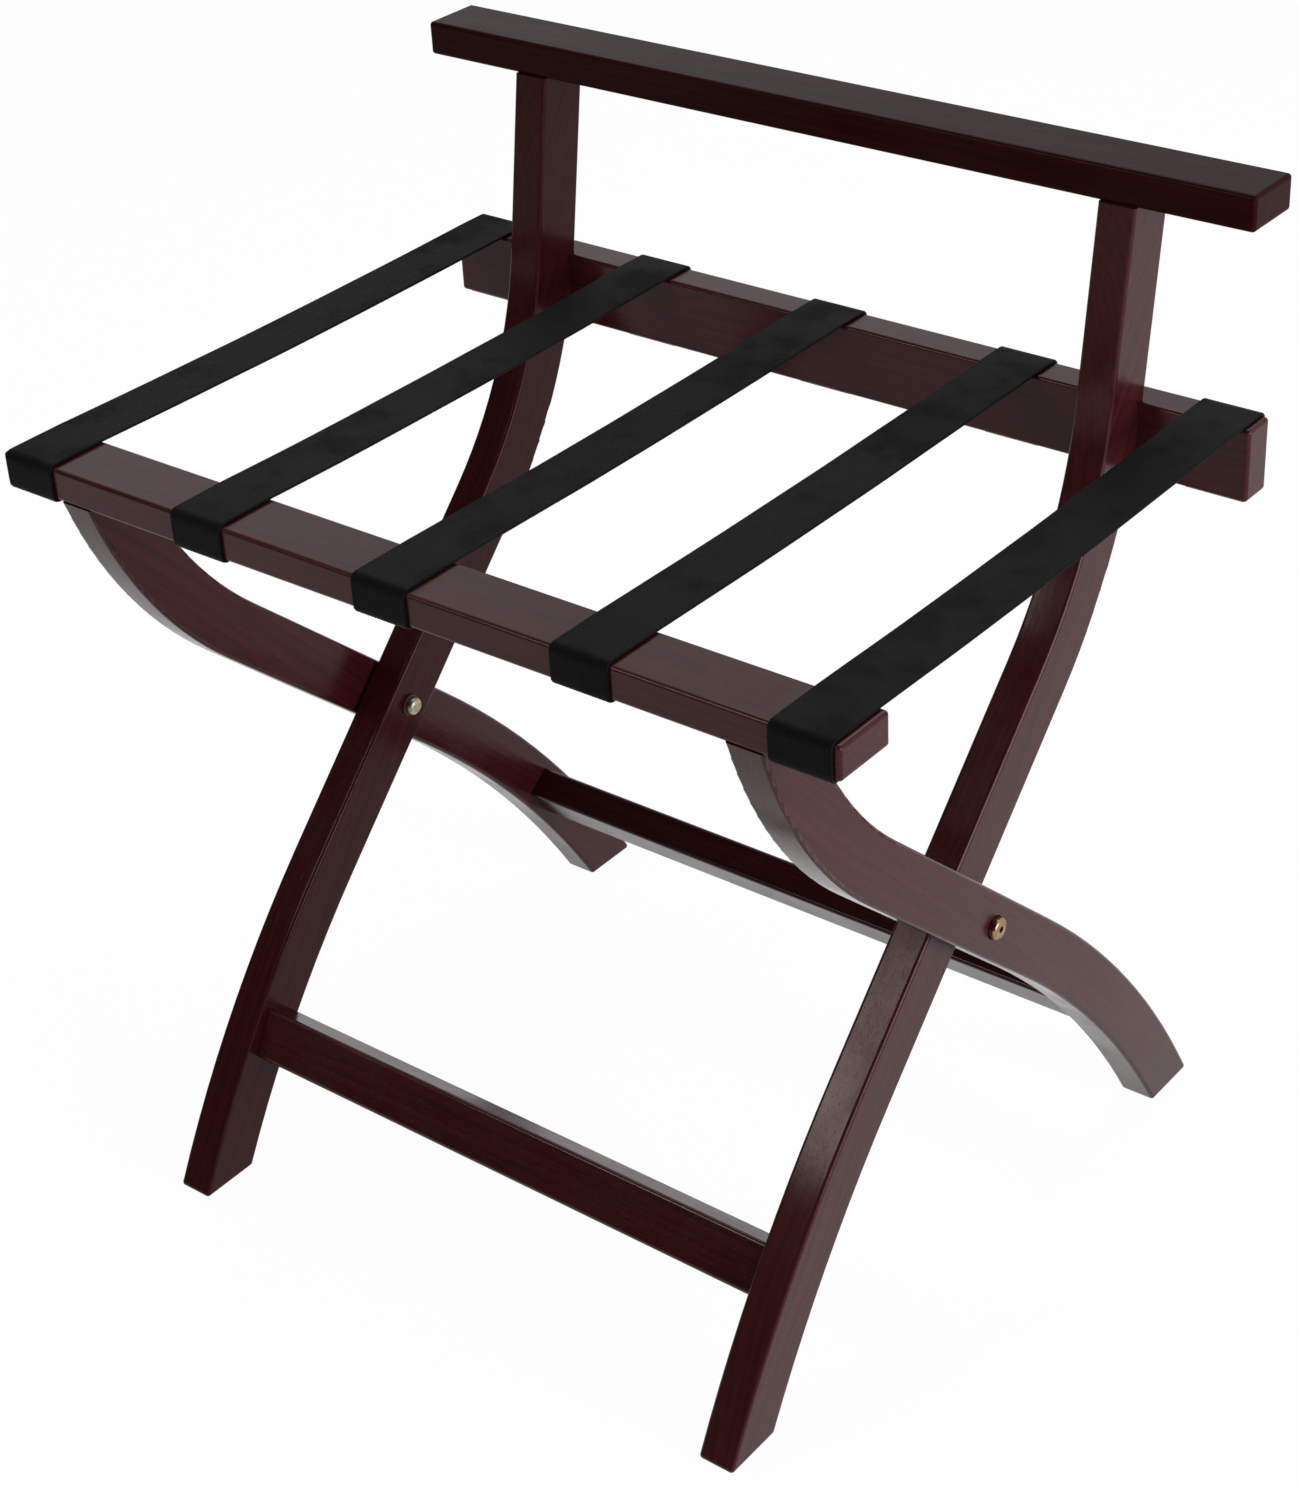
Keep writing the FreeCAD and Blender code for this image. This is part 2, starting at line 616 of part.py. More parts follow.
def strap_outline(body):
    """The webbing's section: over both rails, round their outer faces and under their undersides."""
    sketch = sketch_on(body, "YZ_Plane", f"{body.Name}_outline")
    gap, thickness = size("strap_clearance"), size("strap_thickness")
    bend = size("rail_round") + gap
    front = -size("front_reach") - gap
    rear = size("rear_rail_back") + gap
    top = size("seat_height") + gap
    front_low = size("outer_leg_top") - gap
    rear_low = size("rear_rail_underside") - gap
    front_end = -size("front_reach") + size("strap_front_tuck")
    rear_end = size("rear_rail_back") - size("strap_rear_tuck")

    def run(out):
        """One face of the webbing, out mm outside its inner face, from front end to rear end."""
        turns = [(front + bend, front_low + bend, "SW"), (front + bend, top - bend, "NW"),
                 (rear - bend, top - bend, "NE"), (rear - bend, rear_low + bend, "SE")]
        reach = bend + out
        compass = {"S": (0, -reach), "W": (-reach, 0), "N": (0, reach), "E": (reach, 0)}
        pieces = []
        position = (front_end, front_low - out)
        for y, z, turn in turns:
            order = turn if turn in ("SW", "NE") else turn[::-1]
            first, last = [(y + compass[c][0], z + compass[c][1]) for c in order]
            pieces.append(add_line(sketch, position, first))
            pieces.append(add_arc(sketch, (y, z), first, last))
            position = last
        pieces.append(add_line(sketch, position, (rear_end, rear_low - out)))
        return pieces

    inner, outer = run(0), run(thickness)
    rear_cap = add_line(sketch, (rear_end, rear_low), (rear_end, rear_low - thickness))
    front_cap = add_line(sketch, (front_end, front_low - thickness), (front_end, front_low))
    backward = [(index, end, start) for index, start, end in reversed(outer)]
    count = len(inner)
    join_outline(sketch, inner + [rear_cap] + backward + [front_cap],
                 corners={count - 1, count, 2 * count, 2 * count + 1})
    for cap in (rear_cap, front_cap):
        sketch.addConstraint(Sketcher.Constraint("Vertical", cap[0]))
    for number, piece in enumerate(inner[::2] + outer[::2]):
        level = number % 5 in (0, 2, 4)
        sketch.addConstraint(Sketcher.Constraint("Horizontal" if level else "Vertical", piece[0]))
    for inside, outside in zip(inner[1::2], outer[1::2]):
        sketch.addConstraint(Sketcher.Constraint("Coincident", inside[0], 3, outside[0], 3))
    for arc in inner[3::2]:
        sketch.addConstraint(Sketcher.Constraint("Equal", inner[1][0], arc[0]))

    def locate(name, expression, kind, piece, number):
        dimension(sketch, name, expression, kind, -1, 1, piece[0], 1, number)

    dimension(sketch, "bend", "Sizes.rail_round + Sizes.strap_clearance", "Radius", inner[1][0], bend)
    locate("front", "-Sizes.front_reach - Sizes.strap_clearance", "DistanceX", inner[2], front)
    locate("rear", "Places.rear_rail_back + Sizes.strap_clearance",
           "DistanceX", inner[6], rear)
    locate("top", "Sizes.seat_height + Sizes.strap_clearance", "DistanceY", inner[4], top)
    locate("front_low", "Places.outer_leg_top - Sizes.strap_clearance", "DistanceY", inner[0], front_low)
    locate("rear_low", "Places.rear_rail_underside - Sizes.strap_clearance", "DistanceY", inner[8],
           rear_low)
    locate("front_end", "Sizes.strap_front_tuck - Sizes.front_reach", "DistanceX", front_cap, front_end)
    locate("rear_end", "Places.rear_rail_back - Sizes.strap_rear_tuck",
           "DistanceX", rear_cap, rear_end)
    dimension(sketch, "thickness", "Sizes.strap_thickness", "Distance", front_cap[0], thickness)
    return sketch


def staple_xs():
    """The places of the staples across a strap's width."""
    middle = (STAPLES_PER_END - 1) / 2
    return [(number - middle) * size("staple_spacing") for number in range(STAPLES_PER_END)]


def strap_centres():
    """Evenly spaced straps, the end ones a margin in from the ends of the rails."""
    middle = (STRAP_COUNT - 1) / 2
    return [(number - middle) / middle * size("end_strap_x") for number in range(STRAP_COUNT)]


def strap(number, centre_x):
    """One strap, with the small holes that its staples make near both ends."""
    body = new_body(f"strap_{number}")
    pad_symmetric(body, strap_outline(body), "Sizes.strap_width")
    ends = {
        "front": (size("front_staple_y"), size("outer_leg_top")),
        "rear": (size("rear_staple_y"), size("rear_rail_underside")),
    }
    leg_step = (size("staple_crown") - size("staple_wire")) / 2
    hole = "Sizes.staple_wire * sqrt(2) + 2 * Sizes.strap_clearance"
    depth = "Sizes.strap_thickness + 2 * Sizes.cut_overrun"
    for end, (y, rail_low) in ends.items():
        z = rail_low + size("staple_crown_z") - size("cut_overrun")
        legs = [x + sign * leg_step for x in staple_xs() for sign in (-1, 1)]
        for count, x in enumerate(legs, 1):
            drill(body, f"{end}_hole_{count}", hole, depth, "+Z", (x, y, z))
    place(body, x=str(centre_x))


# ---- pivots ----

def turned(node, diameter, length):
    """A round piece that grows along its own +Z from its seat."""
    body = new_body(node)
    primitive(body, "AdditiveCylinder", "blank", {"Radius": f"{diameter} / 2", "Height": length})
    doc.recompute()
    return body


def on_pivot(body, x, direction):
    """Put a round piece on the pivot, its seat at x and its own +Z turned along the bolt."""
    body.Placement = FreeCAD.Placement(Vector(), TURN_TO[direction])
    place(body, x=x, y="Sizes.pivot_y", z="Places.pivot_z")


def rim_at(height):
    """A test that picks the round edge at a height."""
    def chosen(edge):
        bounds = edge.BoundBox
        return bounds.ZLength < 1e-3 and abs(bounds.ZMin - height) < 1e-3
    return chosen


def pivot_bolt(side, sign, outward):
    """The bolt, its head standing proud of a shallow counterbore and its shank ending in the nut."""
    bolt = turned(f"pivot_bolt_{side}", "Sizes.bolt_head_diameter", "Sizes.bolt_head_height")
    head_top = size("bolt_head_height")
    round_edges(bolt, "head_round", "Sizes.bolt_head_round", rim_at(head_top))
    primitive(bolt, "AdditiveCylinder", "shank", {
        "Radius": "Sizes.bolt_diameter / 2",
        "Height": "Places.head_seat_x - Places.nut_seat_x + Sizes.nut_bore_depth - Sizes.bolt_end_gap",
    }, "-Z")
    primitive(bolt, "SubtractivePrism", "socket", {
        "Circumradius": "Sizes.bolt_socket_across / sqrt(3)",
        "Height": "Sizes.bolt_socket_depth",
    }, "-Z", (0, 0, head_top))
    doc.recompute()
    on_pivot(bolt, f"{sign} * Places.head_seat_x", outward)


def pivot_nut(side, sign, inward):
    """The domed nut, blind, on the inner leg's inner side."""
    nut = turned(f"pivot_nut_{side}", "Sizes.nut_diameter", "Sizes.nut_height")
    round_edges(nut, "dome", "Sizes.nut_dome", rim_at(size("nut_height")))
    drill(nut, "bore", BOLT_BORE, "Sizes.nut_bore_depth", "+Z", (0, 0, 0))
    on_pivot(nut, f"{sign} * Places.nut_seat_x", inward)


def pivot_spacer(side, sign, inward):
    """The spacer between the legs: against the outer leg, and a running gap from the inner one."""
    spacer = turned(f"pivot_spacer_{side}", "Sizes.spacer_diameter",
                    "Sizes.leg_gap - Sizes.pivot_clearance")
    drill(spacer, "bore", BOLT_BORE, "Sizes.leg_gap", "+Z", (0, 0, 0))
    on_pivot(spacer, f"{sign} * (Places.outer_face_x - Sizes.leg_thickness)", inward)


def nut_washer(side, sign, inward):
    """The washer under the nut, a running gap from the inner leg."""
    washer = turned(f"nut_washer_{side}", "Sizes.washer_diameter", "Sizes.washer_thickness")
    drill(washer, "bore", BOLT_BORE, "Sizes.washer_thickness", "+Z", (0, 0, 0))
    on_pivot(washer, f"{sign} * (Places.nut_seat_x + Sizes.washer_thickness)", inward)


def pivot_set(side, sign):
    outward, inward = ("+X", "-X") if sign > 0 else ("-X", "+X")
    pivot_bolt(side, sign, outward)
    pivot_nut(side, sign, inward)
    pivot_spacer(side, sign, inward)
    nut_washer(side, sign, inward)


# ---- hidden fixings, in groups of like pieces ----

def group(node, pieces):
    """Like pieces as one sub-part of separate solids."""
    compound = doc.addObject("Part::Compound", node)
    compound.Links = pieces


def dowel_group(node, ends, direction):
    """Dowels that start at the given points and run along a direction."""
    pieces = []
    for number, point in enumerate(ends, 1):
        dowel = doc.addObject("Part::Cylinder", f"{node}_{number}")
        bind(dowel, {"Radius": "Sizes.dowel_diameter / 2", "Height": "Sizes.dowel_length"})
        dowel.Placement = FreeCAD.Placement(Vector(*point), TURN_TO[direction])
        pieces.append(dowel)
    group(node, pieces)


def stretcher_dowels(node, curve, leg_x):
    """Two dowels at each end of a stretcher, half in the leg and half in the stretcher."""
    start_x = [sign * (leg_x - size("leg_thickness") / 2) - size("dowel_length") / 2
               for sign in SIDES.values()]
    dowel_group(node, [(x, y, z) for x in start_x for y, z in dowel_rows(curve)], "+X")


def top_dowels(node, leg_place, centre_y, top_height):
    """Two dowels in the top of each leg of a pair, up into the board that lies on it."""
    low = top_height + size("dowel_rise") - size("dowel_length")
    dowel_group(node, [(x, y, low) for x in leg_xs(leg_place) for y in top_dowel_ys(centre_y)], "+Z")


def wood_screw(name, point):
    """A countersunk cross-head screw driven forward from a point on the rail's rear face."""
    at = FreeCAD.Placement(Vector(*point), TURN_TO["-Y"])
    head = doc.addObject("Part::Cone", f"{name}_head")
    bind(head, {
        "Radius1": "Sizes.screw_head_diameter / 2",
        "Radius2": "Sizes.screw_diameter / 2",
        "Height": "Sizes.screw_head_height",
    })
    shank = doc.addObject("Part::Cylinder", f"{name}_shank")
    bind(shank, {"Radius": "Sizes.screw_diameter / 2",
                 "Height": "Sizes.screw_length - Sizes.screw_diameter"})
    tip = doc.addObject("Part::Cone", f"{name}_tip")
    bind(tip, {"Radius1": "Sizes.screw_diameter / 2", "Height": "Sizes.screw_diameter"})
    tip.Radius2 = 0
    tip_offset = Vector(0, 0, size("screw_length") - size("screw_diameter"))
    for piece in (head, shank, tip):
        piece.Placement = at
    tip.Placement = at.multiply(FreeCAD.Placement(tip_offset, FreeCAD.Rotation()))
    blank = doc.addObject("Part::MultiFuse", f"{name}_blank")
    blank.Shapes = [head, shank, tip]
    slots = []
    for number, turn in enumerate((0, 90), 1):
        slot = doc.addObject("Part::Box", f"{name}_slot_{number}")
        bind(slot, {"Length": "Sizes.screw_recess_length", "Width": "Sizes.screw_recess_width",
                    "Height": "Sizes.screw_recess_depth + Sizes.cut_overrun"})
        centre = Vector(-size("screw_recess_length") / 2, -size("screw_recess_width") / 2,
                        -size("cut_overrun"))
        spin = FreeCAD.Placement(Vector(), FreeCAD.Rotation(Vector(0, 0, 1), turn))
        slot.Placement = at.multiply(spin).multiply(FreeCAD.Placement(centre, FreeCAD.Rotation()))
        slots.append(slot)
    cross = doc.addObject("Part::MultiFuse", f"{name}_cross")
    cross.Shapes = slots
    screw = doc.addObject("Part::Cut", name)
    screw.Base = blank
    screw.Tool = cross
    return screw


def rear_rail_screws():
    rear_face = size("rear_rail_back")
    points = [(x, rear_face, z) for x in leg_xs("inner_leg_x") for z in screw_heights()]
    group("rear_rail_screws", [wood_screw(f"rear_rail_screw_{number}", point)
                               for number, point in enumerate(points, 1)])


def staple(name, x, y, crown_top):
    """One staple: a crown against the webbing and two legs up into the rail."""
    wire, crown = size("staple_wire"), size("staple_crown")
    low = crown_top - wire
    rise = size("strap_thickness") + size("strap_clearance") + size("staple_reach")
    parts = {
        "crown": (x - crown / 2, crown, wire),
        "leg_1": (x - crown / 2, wire, wire + rise),
        "leg_2": (x + crown / 2 - wire, wire, wire + rise),
    }
    boxes = []
    for part, (start_x, length, height) in parts.items():
        box = doc.addObject("Part::Box", f"{name}_{part}")
        box.Length = length
        box.Height = height
        box.setExpression("Width", "Sizes.staple_wire")
        box.Placement.Base = Vector(start_x, y - wire / 2, low)
        boxes.append(box)
    joined = doc.addObject("Part::MultiFuse", name)
    joined.Shapes = boxes
    joined.Refine = True
    return joined


def strap_staples(node, y, rail_low, slack):
    """The staples of every strap's end under one rail."""
    crown_top = rail_low + size("staple_crown_z") - slack
    places_x = [centre + x for centre in strap_centres() for x in staple_xs()]
    group(node, [staple(f"{node}_{number}", x, y, crown_top)
                 for number, x in enumerate(places_x, 1)])


# ---- the assembly ----

outer_curve = outer_leg_curve()
inner_curve = inner_leg_curve()
housing_floor = inner_curve.back_at(size("rear_rail_z")) - size("rear_rail_housing")
places.set(places.getCellFromAlias(HOUSING_FLOOR), str(housing_floor))
doc.recompute()

front_rail()
rear_rail()
back_bar()
for side_name, side_sign in SIDES.items():
    outer_leg(side_name, side_sign)
    inner_leg(side_name, side_sign)
    pivot_set(side_name, side_sign)
stretcher("front_stretcher", inner_curve, "Places.inner_leg_x")
stretcher("rear_stretcher", outer_curve, "Places.outer_leg_x")
for strap_number, strap_x in enumerate(strap_centres(), 1):
    strap(strap_number, strap_x)
stretcher_dowels("front_stretcher_dowels", inner_curve, size("inner_leg_x"))
stretcher_dowels("rear_stretcher_dowels", outer_curve, size("outer_leg_x"))
top_dowels("front_rail_dowels", "outer_leg_x", size("front_rail_y"), size("outer_leg_top"))
top_dowels("back_bar_dowels", "inner_leg_x", size("post_top_y"), size("inner_leg_top"))
rear_rail_screws()
strap_staples("front_strap_staples", size("front_staple_y"), size("outer_leg_top"), 0)
strap_staples("rear_strap_staples", size("rear_staple_y"), size("rear_rail_underside"),
              size("strap_clearance"))
doc.recompute()

# ---- checks, then one STEP file for each sub-part ----

for item in doc.Objects:
    if {"Invalid", "Error"} & set(item.State):
        raise RuntimeError(f"{item.Name} failed: {item.State}")

sub_parts = [item for item in doc.Objects if item.TypeId in ("PartDesign::Body", "Part::Compound")]
for item in sub_parts:
    if item.Shape.isNull() or not item.Shape.isValid() or not item.Shape.Solids:
        raise RuntimeError(f"{item.Label} has no valid shape")

os.makedirs("parts", exist_ok=True)
for item in sub_parts:
    item.Shape.exportStep(f"parts/{item.Label}.step")
    box = item.Shape.BoundBox
    print(f"{item.Label}: {len(item.Shape.Solids)} solid, {item.Shape.Volume / 1000:.2f} cm3, "
          f"y {box.YMin:.1f}..{box.YMax:.1f}, z {box.ZMin:.1f}..{box.ZMax:.1f}")
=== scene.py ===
import math

import bpy
from mathutils import Matrix, Vector


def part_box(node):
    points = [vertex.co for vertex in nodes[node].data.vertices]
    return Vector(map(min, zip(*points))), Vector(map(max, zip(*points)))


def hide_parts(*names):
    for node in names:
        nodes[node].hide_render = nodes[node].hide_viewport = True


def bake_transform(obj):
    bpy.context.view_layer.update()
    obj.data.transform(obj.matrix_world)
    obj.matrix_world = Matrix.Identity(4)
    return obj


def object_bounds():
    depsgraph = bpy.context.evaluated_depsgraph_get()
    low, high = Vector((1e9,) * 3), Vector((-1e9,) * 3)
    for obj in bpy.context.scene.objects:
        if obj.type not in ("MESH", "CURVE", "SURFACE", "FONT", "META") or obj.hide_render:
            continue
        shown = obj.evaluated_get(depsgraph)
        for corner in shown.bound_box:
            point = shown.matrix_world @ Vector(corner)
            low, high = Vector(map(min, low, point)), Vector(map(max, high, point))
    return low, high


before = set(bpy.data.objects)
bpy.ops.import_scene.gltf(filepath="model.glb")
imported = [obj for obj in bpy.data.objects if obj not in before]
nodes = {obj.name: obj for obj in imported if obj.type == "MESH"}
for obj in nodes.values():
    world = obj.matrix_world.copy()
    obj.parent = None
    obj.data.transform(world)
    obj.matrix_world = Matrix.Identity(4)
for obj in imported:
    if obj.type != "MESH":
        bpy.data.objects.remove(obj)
cad_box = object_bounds()


# ---- the camera ----
# It stands in front and to the right of the rack, above the back bar, and looks down at the seat.
# The horizon leans a little, as in a hand-held shot.

CAMERA_PLACE = Vector((1.01698, -1.22873, 1.28725))
CAMERA_TURN = 0.693
CAMERA_DIP = 0.553
CAMERA_LEAN = -0.058
CAMERA_LENS = 71.9

ahead = Vector((-math.sin(CAMERA_TURN) * math.cos(CAMERA_DIP),
                math.cos(CAMERA_TURN) * math.cos(CAMERA_DIP),
                -math.sin(CAMERA_DIP)))
level = Vector((math.cos(CAMERA_TURN), math.sin(CAMERA_TURN), 0))
upright = level.cross(ahead)
across = math.cos(CAMERA_LEAN) * level + math.sin(CAMERA_LEAN) * upright
up = -math.sin(CAMERA_LEAN) * level + math.cos(CAMERA_LEAN) * upright

camera = bpy.data.objects.new("camera", bpy.data.cameras.new("camera"))
camera.data.lens = CAMERA_LENS
aimed = Matrix((across, up, -ahead)).transposed().to_4x4()
camera.matrix_world = Matrix.Translation(CAMERA_PLACE) @ aimed
bpy.context.scene.collection.objects.link(camera)
bpy.context.scene.camera = camera
bpy.context.scene.view_settings.view_transform = "Standard"


# ---- the studio ----
# A white floor runs out under the rack and the room behind it shines white. One large soft lamp
# stands to its right, one hangs above and a small one stands in front, where the room is dim.

def add(tree, kind, inputs=None, **settings):
    """A node of this kind, its settings made and its inputs linked or set."""
    made = tree.nodes.new(kind)
    for name, value in settings.items():
        setattr(made, name, value)
    for key, value in (inputs or {}).items():
        if isinstance(value, bpy.types.NodeSocket):
            tree.links.new(value, made.inputs[key])
        else:
            made.inputs[key].default_value = value
    return made


def calc(tree, operation, *values):
    """The result of one Math node."""
    return add(tree, "ShaderNodeMath", dict(enumerate(values)), operation=operation).outputs[0]


def apart(tree, vector):
    """A vector's X, Y and Z."""
    return add(tree, "ShaderNodeSeparateXYZ", {0: vector}).outputs


def clean_tree(owner):
    """The emptied node tree of a material or world."""
    owner.use_nodes = True
    owner.node_tree.nodes.clear()
    return owner.node_tree


def kinds_of_ray(tree):
    """Three switches: a ray straight from the eye, one off or through something shiny, and either."""
    path = add(tree, "ShaderNodeLightPath").outputs
    straight = path["Is Camera Ray"]
    shiny = calc(tree, "MAXIMUM", path["Is Glossy Ray"], path["Is Transmission Ray"])
    return straight, shiny, calc(tree, "MAXIMUM", straight, shiny)


FLOOR_HALF = 6.0
FLOOR_COLOUR = (0.82, 0.82, 0.82, 1)
FLOOR_GLOW_SHARE = 0.96
WHITE = (1, 1, 1, 1)

floor_mesh = bpy.data.meshes.new("floor")
corners = [(-FLOOR_HALF, -FLOOR_HALF, 0), (FLOOR_HALF, -FLOOR_HALF, 0),
           (FLOOR_HALF, FLOOR_HALF, 0), (-FLOOR_HALF, FLOOR_HALF, 0)]
floor_mesh.from_pydata(corners, [], [(0, 1, 2, 3)])
floor = bpy.data.objects.new("floor", floor_mesh)
bpy.context.scene.collection.objects.link(floor)

floor_paint = bpy.data.materials.new("floor_paint")
tree = clean_tree(floor_paint)
seen = kinds_of_ray(tree)[2]
matt = add(tree, "ShaderNodeBsdfDiffuse", {"Color": FLOOR_COLOUR})
glow = add(tree, "ShaderNodeEmission", {"Color": WHITE, "Strength": 1.0})
mixed = add(tree, "ShaderNodeMixShader", {0: calc(tree, "MULTIPLY", seen, FLOOR_GLOW_SHARE),
                                          1: matt.outputs[0], 2: glow.outputs[0]})
add(tree, "ShaderNodeOutputMaterial", {"Surface": mixed.outputs[0]})
floor_mesh.materials.append(floor_paint)

ROOM_LIGHT = 0.42
ROOM_DIM_END = 0.03
DIM_UP_TO = -0.35
WHITE_FROM = 0.45

world = bpy.data.worlds.new("room")
bpy.context.scene.world = world
tree = clean_tree(world)
straight, shiny, seen = kinds_of_ray(tree)
direction = apart(tree, add(tree, "ShaderNodeTexCoord").outputs["Generated"])
sweep = add(tree, "ShaderNodeMapRange", {"Value": direction["Y"], "From Min": DIM_UP_TO,
                                         "From Max": WHITE_FROM, "To Min": ROOM_DIM_END, "To Max": 1.0},
            interpolation_type="SMOOTHSTEP")
mirrored = calc(tree, "MULTIPLY", shiny, sweep.outputs[0])
background = calc(tree, "MAXIMUM", straight, mirrored)
lighting = calc(tree, "MULTIPLY", calc(tree, "SUBTRACT", 1.0, seen), ROOM_LIGHT)
strength = calc(tree, "ADD", background, lighting)
room = add(tree, "ShaderNodeBackground", {"Color": WHITE, "Strength": strength})
add(tree, "ShaderNodeOutputWorld", {"Surface": room.outputs[0]})


def soft_lamp(name, place, aim, width, height, power):
    """A rectangular softbox that faces a point."""
    lamp = bpy.data.objects.new(name, bpy.data.lights.new(name, "AREA"))
    lamp.data.shape = "RECTANGLE"
    lamp.data.size, lamp.data.size_y = width, height
    lamp.data.energy = power
    lamp.location = place
    lamp.rotation_euler = (Vector(aim) - Vector(place)).to_track_quat("-Z", "Y").to_euler()
    bpy.context.scene.collection.objects.link(lamp)


middle = (cad_box[0] + cad_box[1]) / 2
soft_lamp("side_lamp", place=(2.7, -0.1, 0.9), aim=middle, width=1.8, height=1.4, power=70)
soft_lamp("top_lamp", place=(-0.3, 1.3, 2.8), aim=middle, width=2.0, height=1.6, power=26)
soft_lamp("front_lamp", place=(-1.1, -1.9, 1.88), aim=(0.1, -0.1, 0.2), width=0.7, height=0.65, power=14)


# ---- the front rail ----
# A flat hardwood board, 610 mm long with its arrises rounded over, stained deep mahogany red and
# sprayed with satin lacquer. The webbing wraps round it, and it sits on the outer legs' ends.

def new_group(name, takes, gives):
    """An empty shader node group with these sockets, and its input and output nodes."""
    made = bpy.data.node_groups.new(name, "ShaderNodeTree")
    for label, kind in takes:
        made.interface.new_socket(name=label, in_out="INPUT", socket_type=kind)
    for label, kind in gives:
        made.interface.new_socket(name=label, in_out="OUTPUT", socket_type=kind)
    return made, made.nodes.new("NodeGroupInput").outputs, made.nodes.new("NodeGroupOutput").inputs


def ramp(tree, value, low, high, to_low=0.0, to_high=1.0):
    """A value carried smoothly from one range to another."""
    made = add(tree, "ShaderNodeMapRange", {"Value": value, "From Min": low, "From Max": high,
                                            "To Min": to_low, "To Max": to_high},
               interpolation_type="SMOOTHSTEP")
    return made.outputs[0]


def hypotenuse(tree, first, second):
    """How far two lengths at right angles reach together."""
    squares = [calc(tree, "POWER", first, 2.0), calc(tree, "POWER", second, 2.0)]
    return calc(tree, "SQRT", calc(tree, "ADD", *squares))


def stretched_noise(tree, vector, scale, detail=2.0, roughness=0.5):
    """Noise whose grains are as long as one over the scale, each way."""
    scaled = add(tree, "ShaderNodeVectorMath", {0: vector, 1: scale}, operation="MULTIPLY").outputs[0]
    noise = add(tree, "ShaderNodeTexNoise", {"Vector": scaled, "Scale": 1.0, "Detail": detail,
                                             "Roughness": roughness})
    return noise.outputs["Fac"]


FLOAT, VECTOR = "NodeSocketFloat", "NodeSocketVector"

# Timber with its grain along X: growth rings round a pith that lies outside the board, long
# streaks of darker stain, and short open pores. The scales are grains per metre, each way.
SLOW_WANDER = (1.7, 11, 11)
QUICK_WANDER = (9, 60, 60)
QUICK_SHARE = 0.16
LATE_WOOD_FROM, LATE_WOOD_AT, RING_END = 0.35, 0.9, 1.0
STREAK_GRAIN = (5, 210, 210)
PORE_GRAIN = (110, 2300, 2300)
NO_PORES, PORE_REACH, PORE_EDGE = 0.78, 0.2, 0.05

board_grain, take, give = new_group(
    "board_grain",
    [("Vector", VECTOR), ("Ring Width", FLOAT), ("Wander", FLOAT), ("Pore Share", FLOAT)],
    [("Rings", FLOAT), ("Streaks", FLOAT), ("Pores", FLOAT)])
wander = stretched_noise(board_grain, take["Vector"], SLOW_WANDER)
fine_wander = stretched_noise(board_grain, take["Vector"], QUICK_WANDER)
wander = calc(board_grain, "ADD", wander, calc(board_grain, "MULTIPLY", fine_wander, QUICK_SHARE))
parts = apart(board_grain, take["Vector"])
from_pith = hypotenuse(board_grain, parts["Y"], parts["Z"])
from_pith = calc(board_grain, "MULTIPLY_ADD", wander, take["Wander"], from_pith)
ring = calc(board_grain, "FRACT", calc(board_grain, "DIVIDE", from_pith, take["Ring Width"]))
late_wood = ramp(board_grain, ring, LATE_WOOD_FROM, LATE_WOOD_AT)
fresh_start = ramp(board_grain, ring, LATE_WOOD_AT, RING_END, 1.0, 0.0)
board_grain.links.new(calc(board_grain, "MULTIPLY", late_wood, fresh_start), give["Rings"])
streaks = stretched_noise(board_grain, take["Vector"], STREAK_GRAIN, detail=4.0, roughness=0.6)
board_grain.links.new(streaks, give["Streaks"])
pore_noise = stretched_noise(board_grain, take["Vector"], PORE_GRAIN, detail=1.0)
threshold = calc(board_grain, "SUBTRACT", NO_PORES,
                 calc(board_grain, "MULTIPLY", take["Pore Share"], PORE_REACH))
full_depth = calc(board_grain, "ADD", threshold, PORE_EDGE)
pores = add(board_grain, "ShaderNodeMapRange", {"Value": pore_noise, "From Min": threshold,
                                                "From Max": full_depth})
board_grain.links.new(pores.outputs[0], give["Pores"])

# Where the surface rolls over from one face to the next, hands and cases rub the stain thin, and the
# lighter colour there is partly a painted highlight along the rounded arrises. Curved Edges is 0 on a
# straight bar and 1 on a leg, whose edges follow a curve in the YZ plane.
RUB_PATCHES = (38, 38, 38)
LEAST_RUBBED = 0.35
ROLL_SPAN = 0.16

worn_and_highlit_arris, take, give = new_group(
    "worn_and_highlit_arris",
    [("Normal", VECTOR), ("Place", VECTOR), ("Curved Edges", FLOAT), ("Reach", FLOAT)],
    [("Wear", FLOAT)])
facing = add(worn_and_highlit_arris, "ShaderNodeVectorMath", {0: take["Normal"]}, operation="ABSOLUTE").outputs[0]
parts = apart(worn_and_highlit_arris, facing)
in_plane = hypotenuse(worn_and_highlit_arris, parts["Y"], parts["Z"])
straight = calc(worn_and_highlit_arris, "MAXIMUM", parts["Y"], parts["Z"])
edge_on = add(worn_and_highlit_arris, "ShaderNodeMix", {0: take["Curved Edges"], 2: straight, 3: in_plane}).outputs[0]
rolled = calc(worn_and_highlit_arris, "SUBTRACT", 1.0, calc(worn_and_highlit_arris, "MAXIMUM", parts["X"], edge_on))
start = calc(worn_and_highlit_arris, "MULTIPLY", calc(worn_and_highlit_arris, "SUBTRACT", 1.0, take["Reach"]), ROLL_SPAN)
wear_and_highlight = add(worn_and_highlit_arris, "ShaderNodeMapRange", {"Value": rolled, "From Min": start,
                                              "From Max": calc(worn_and_highlit_arris, "ADD", start, ROLL_SPAN)},
           interpolation_type="SMOOTHSTEP").outputs[0]
patches = stretched_noise(worn_and_highlit_arris, take["Place"], RUB_PATCHES, detail=4.0, roughness=0.65)
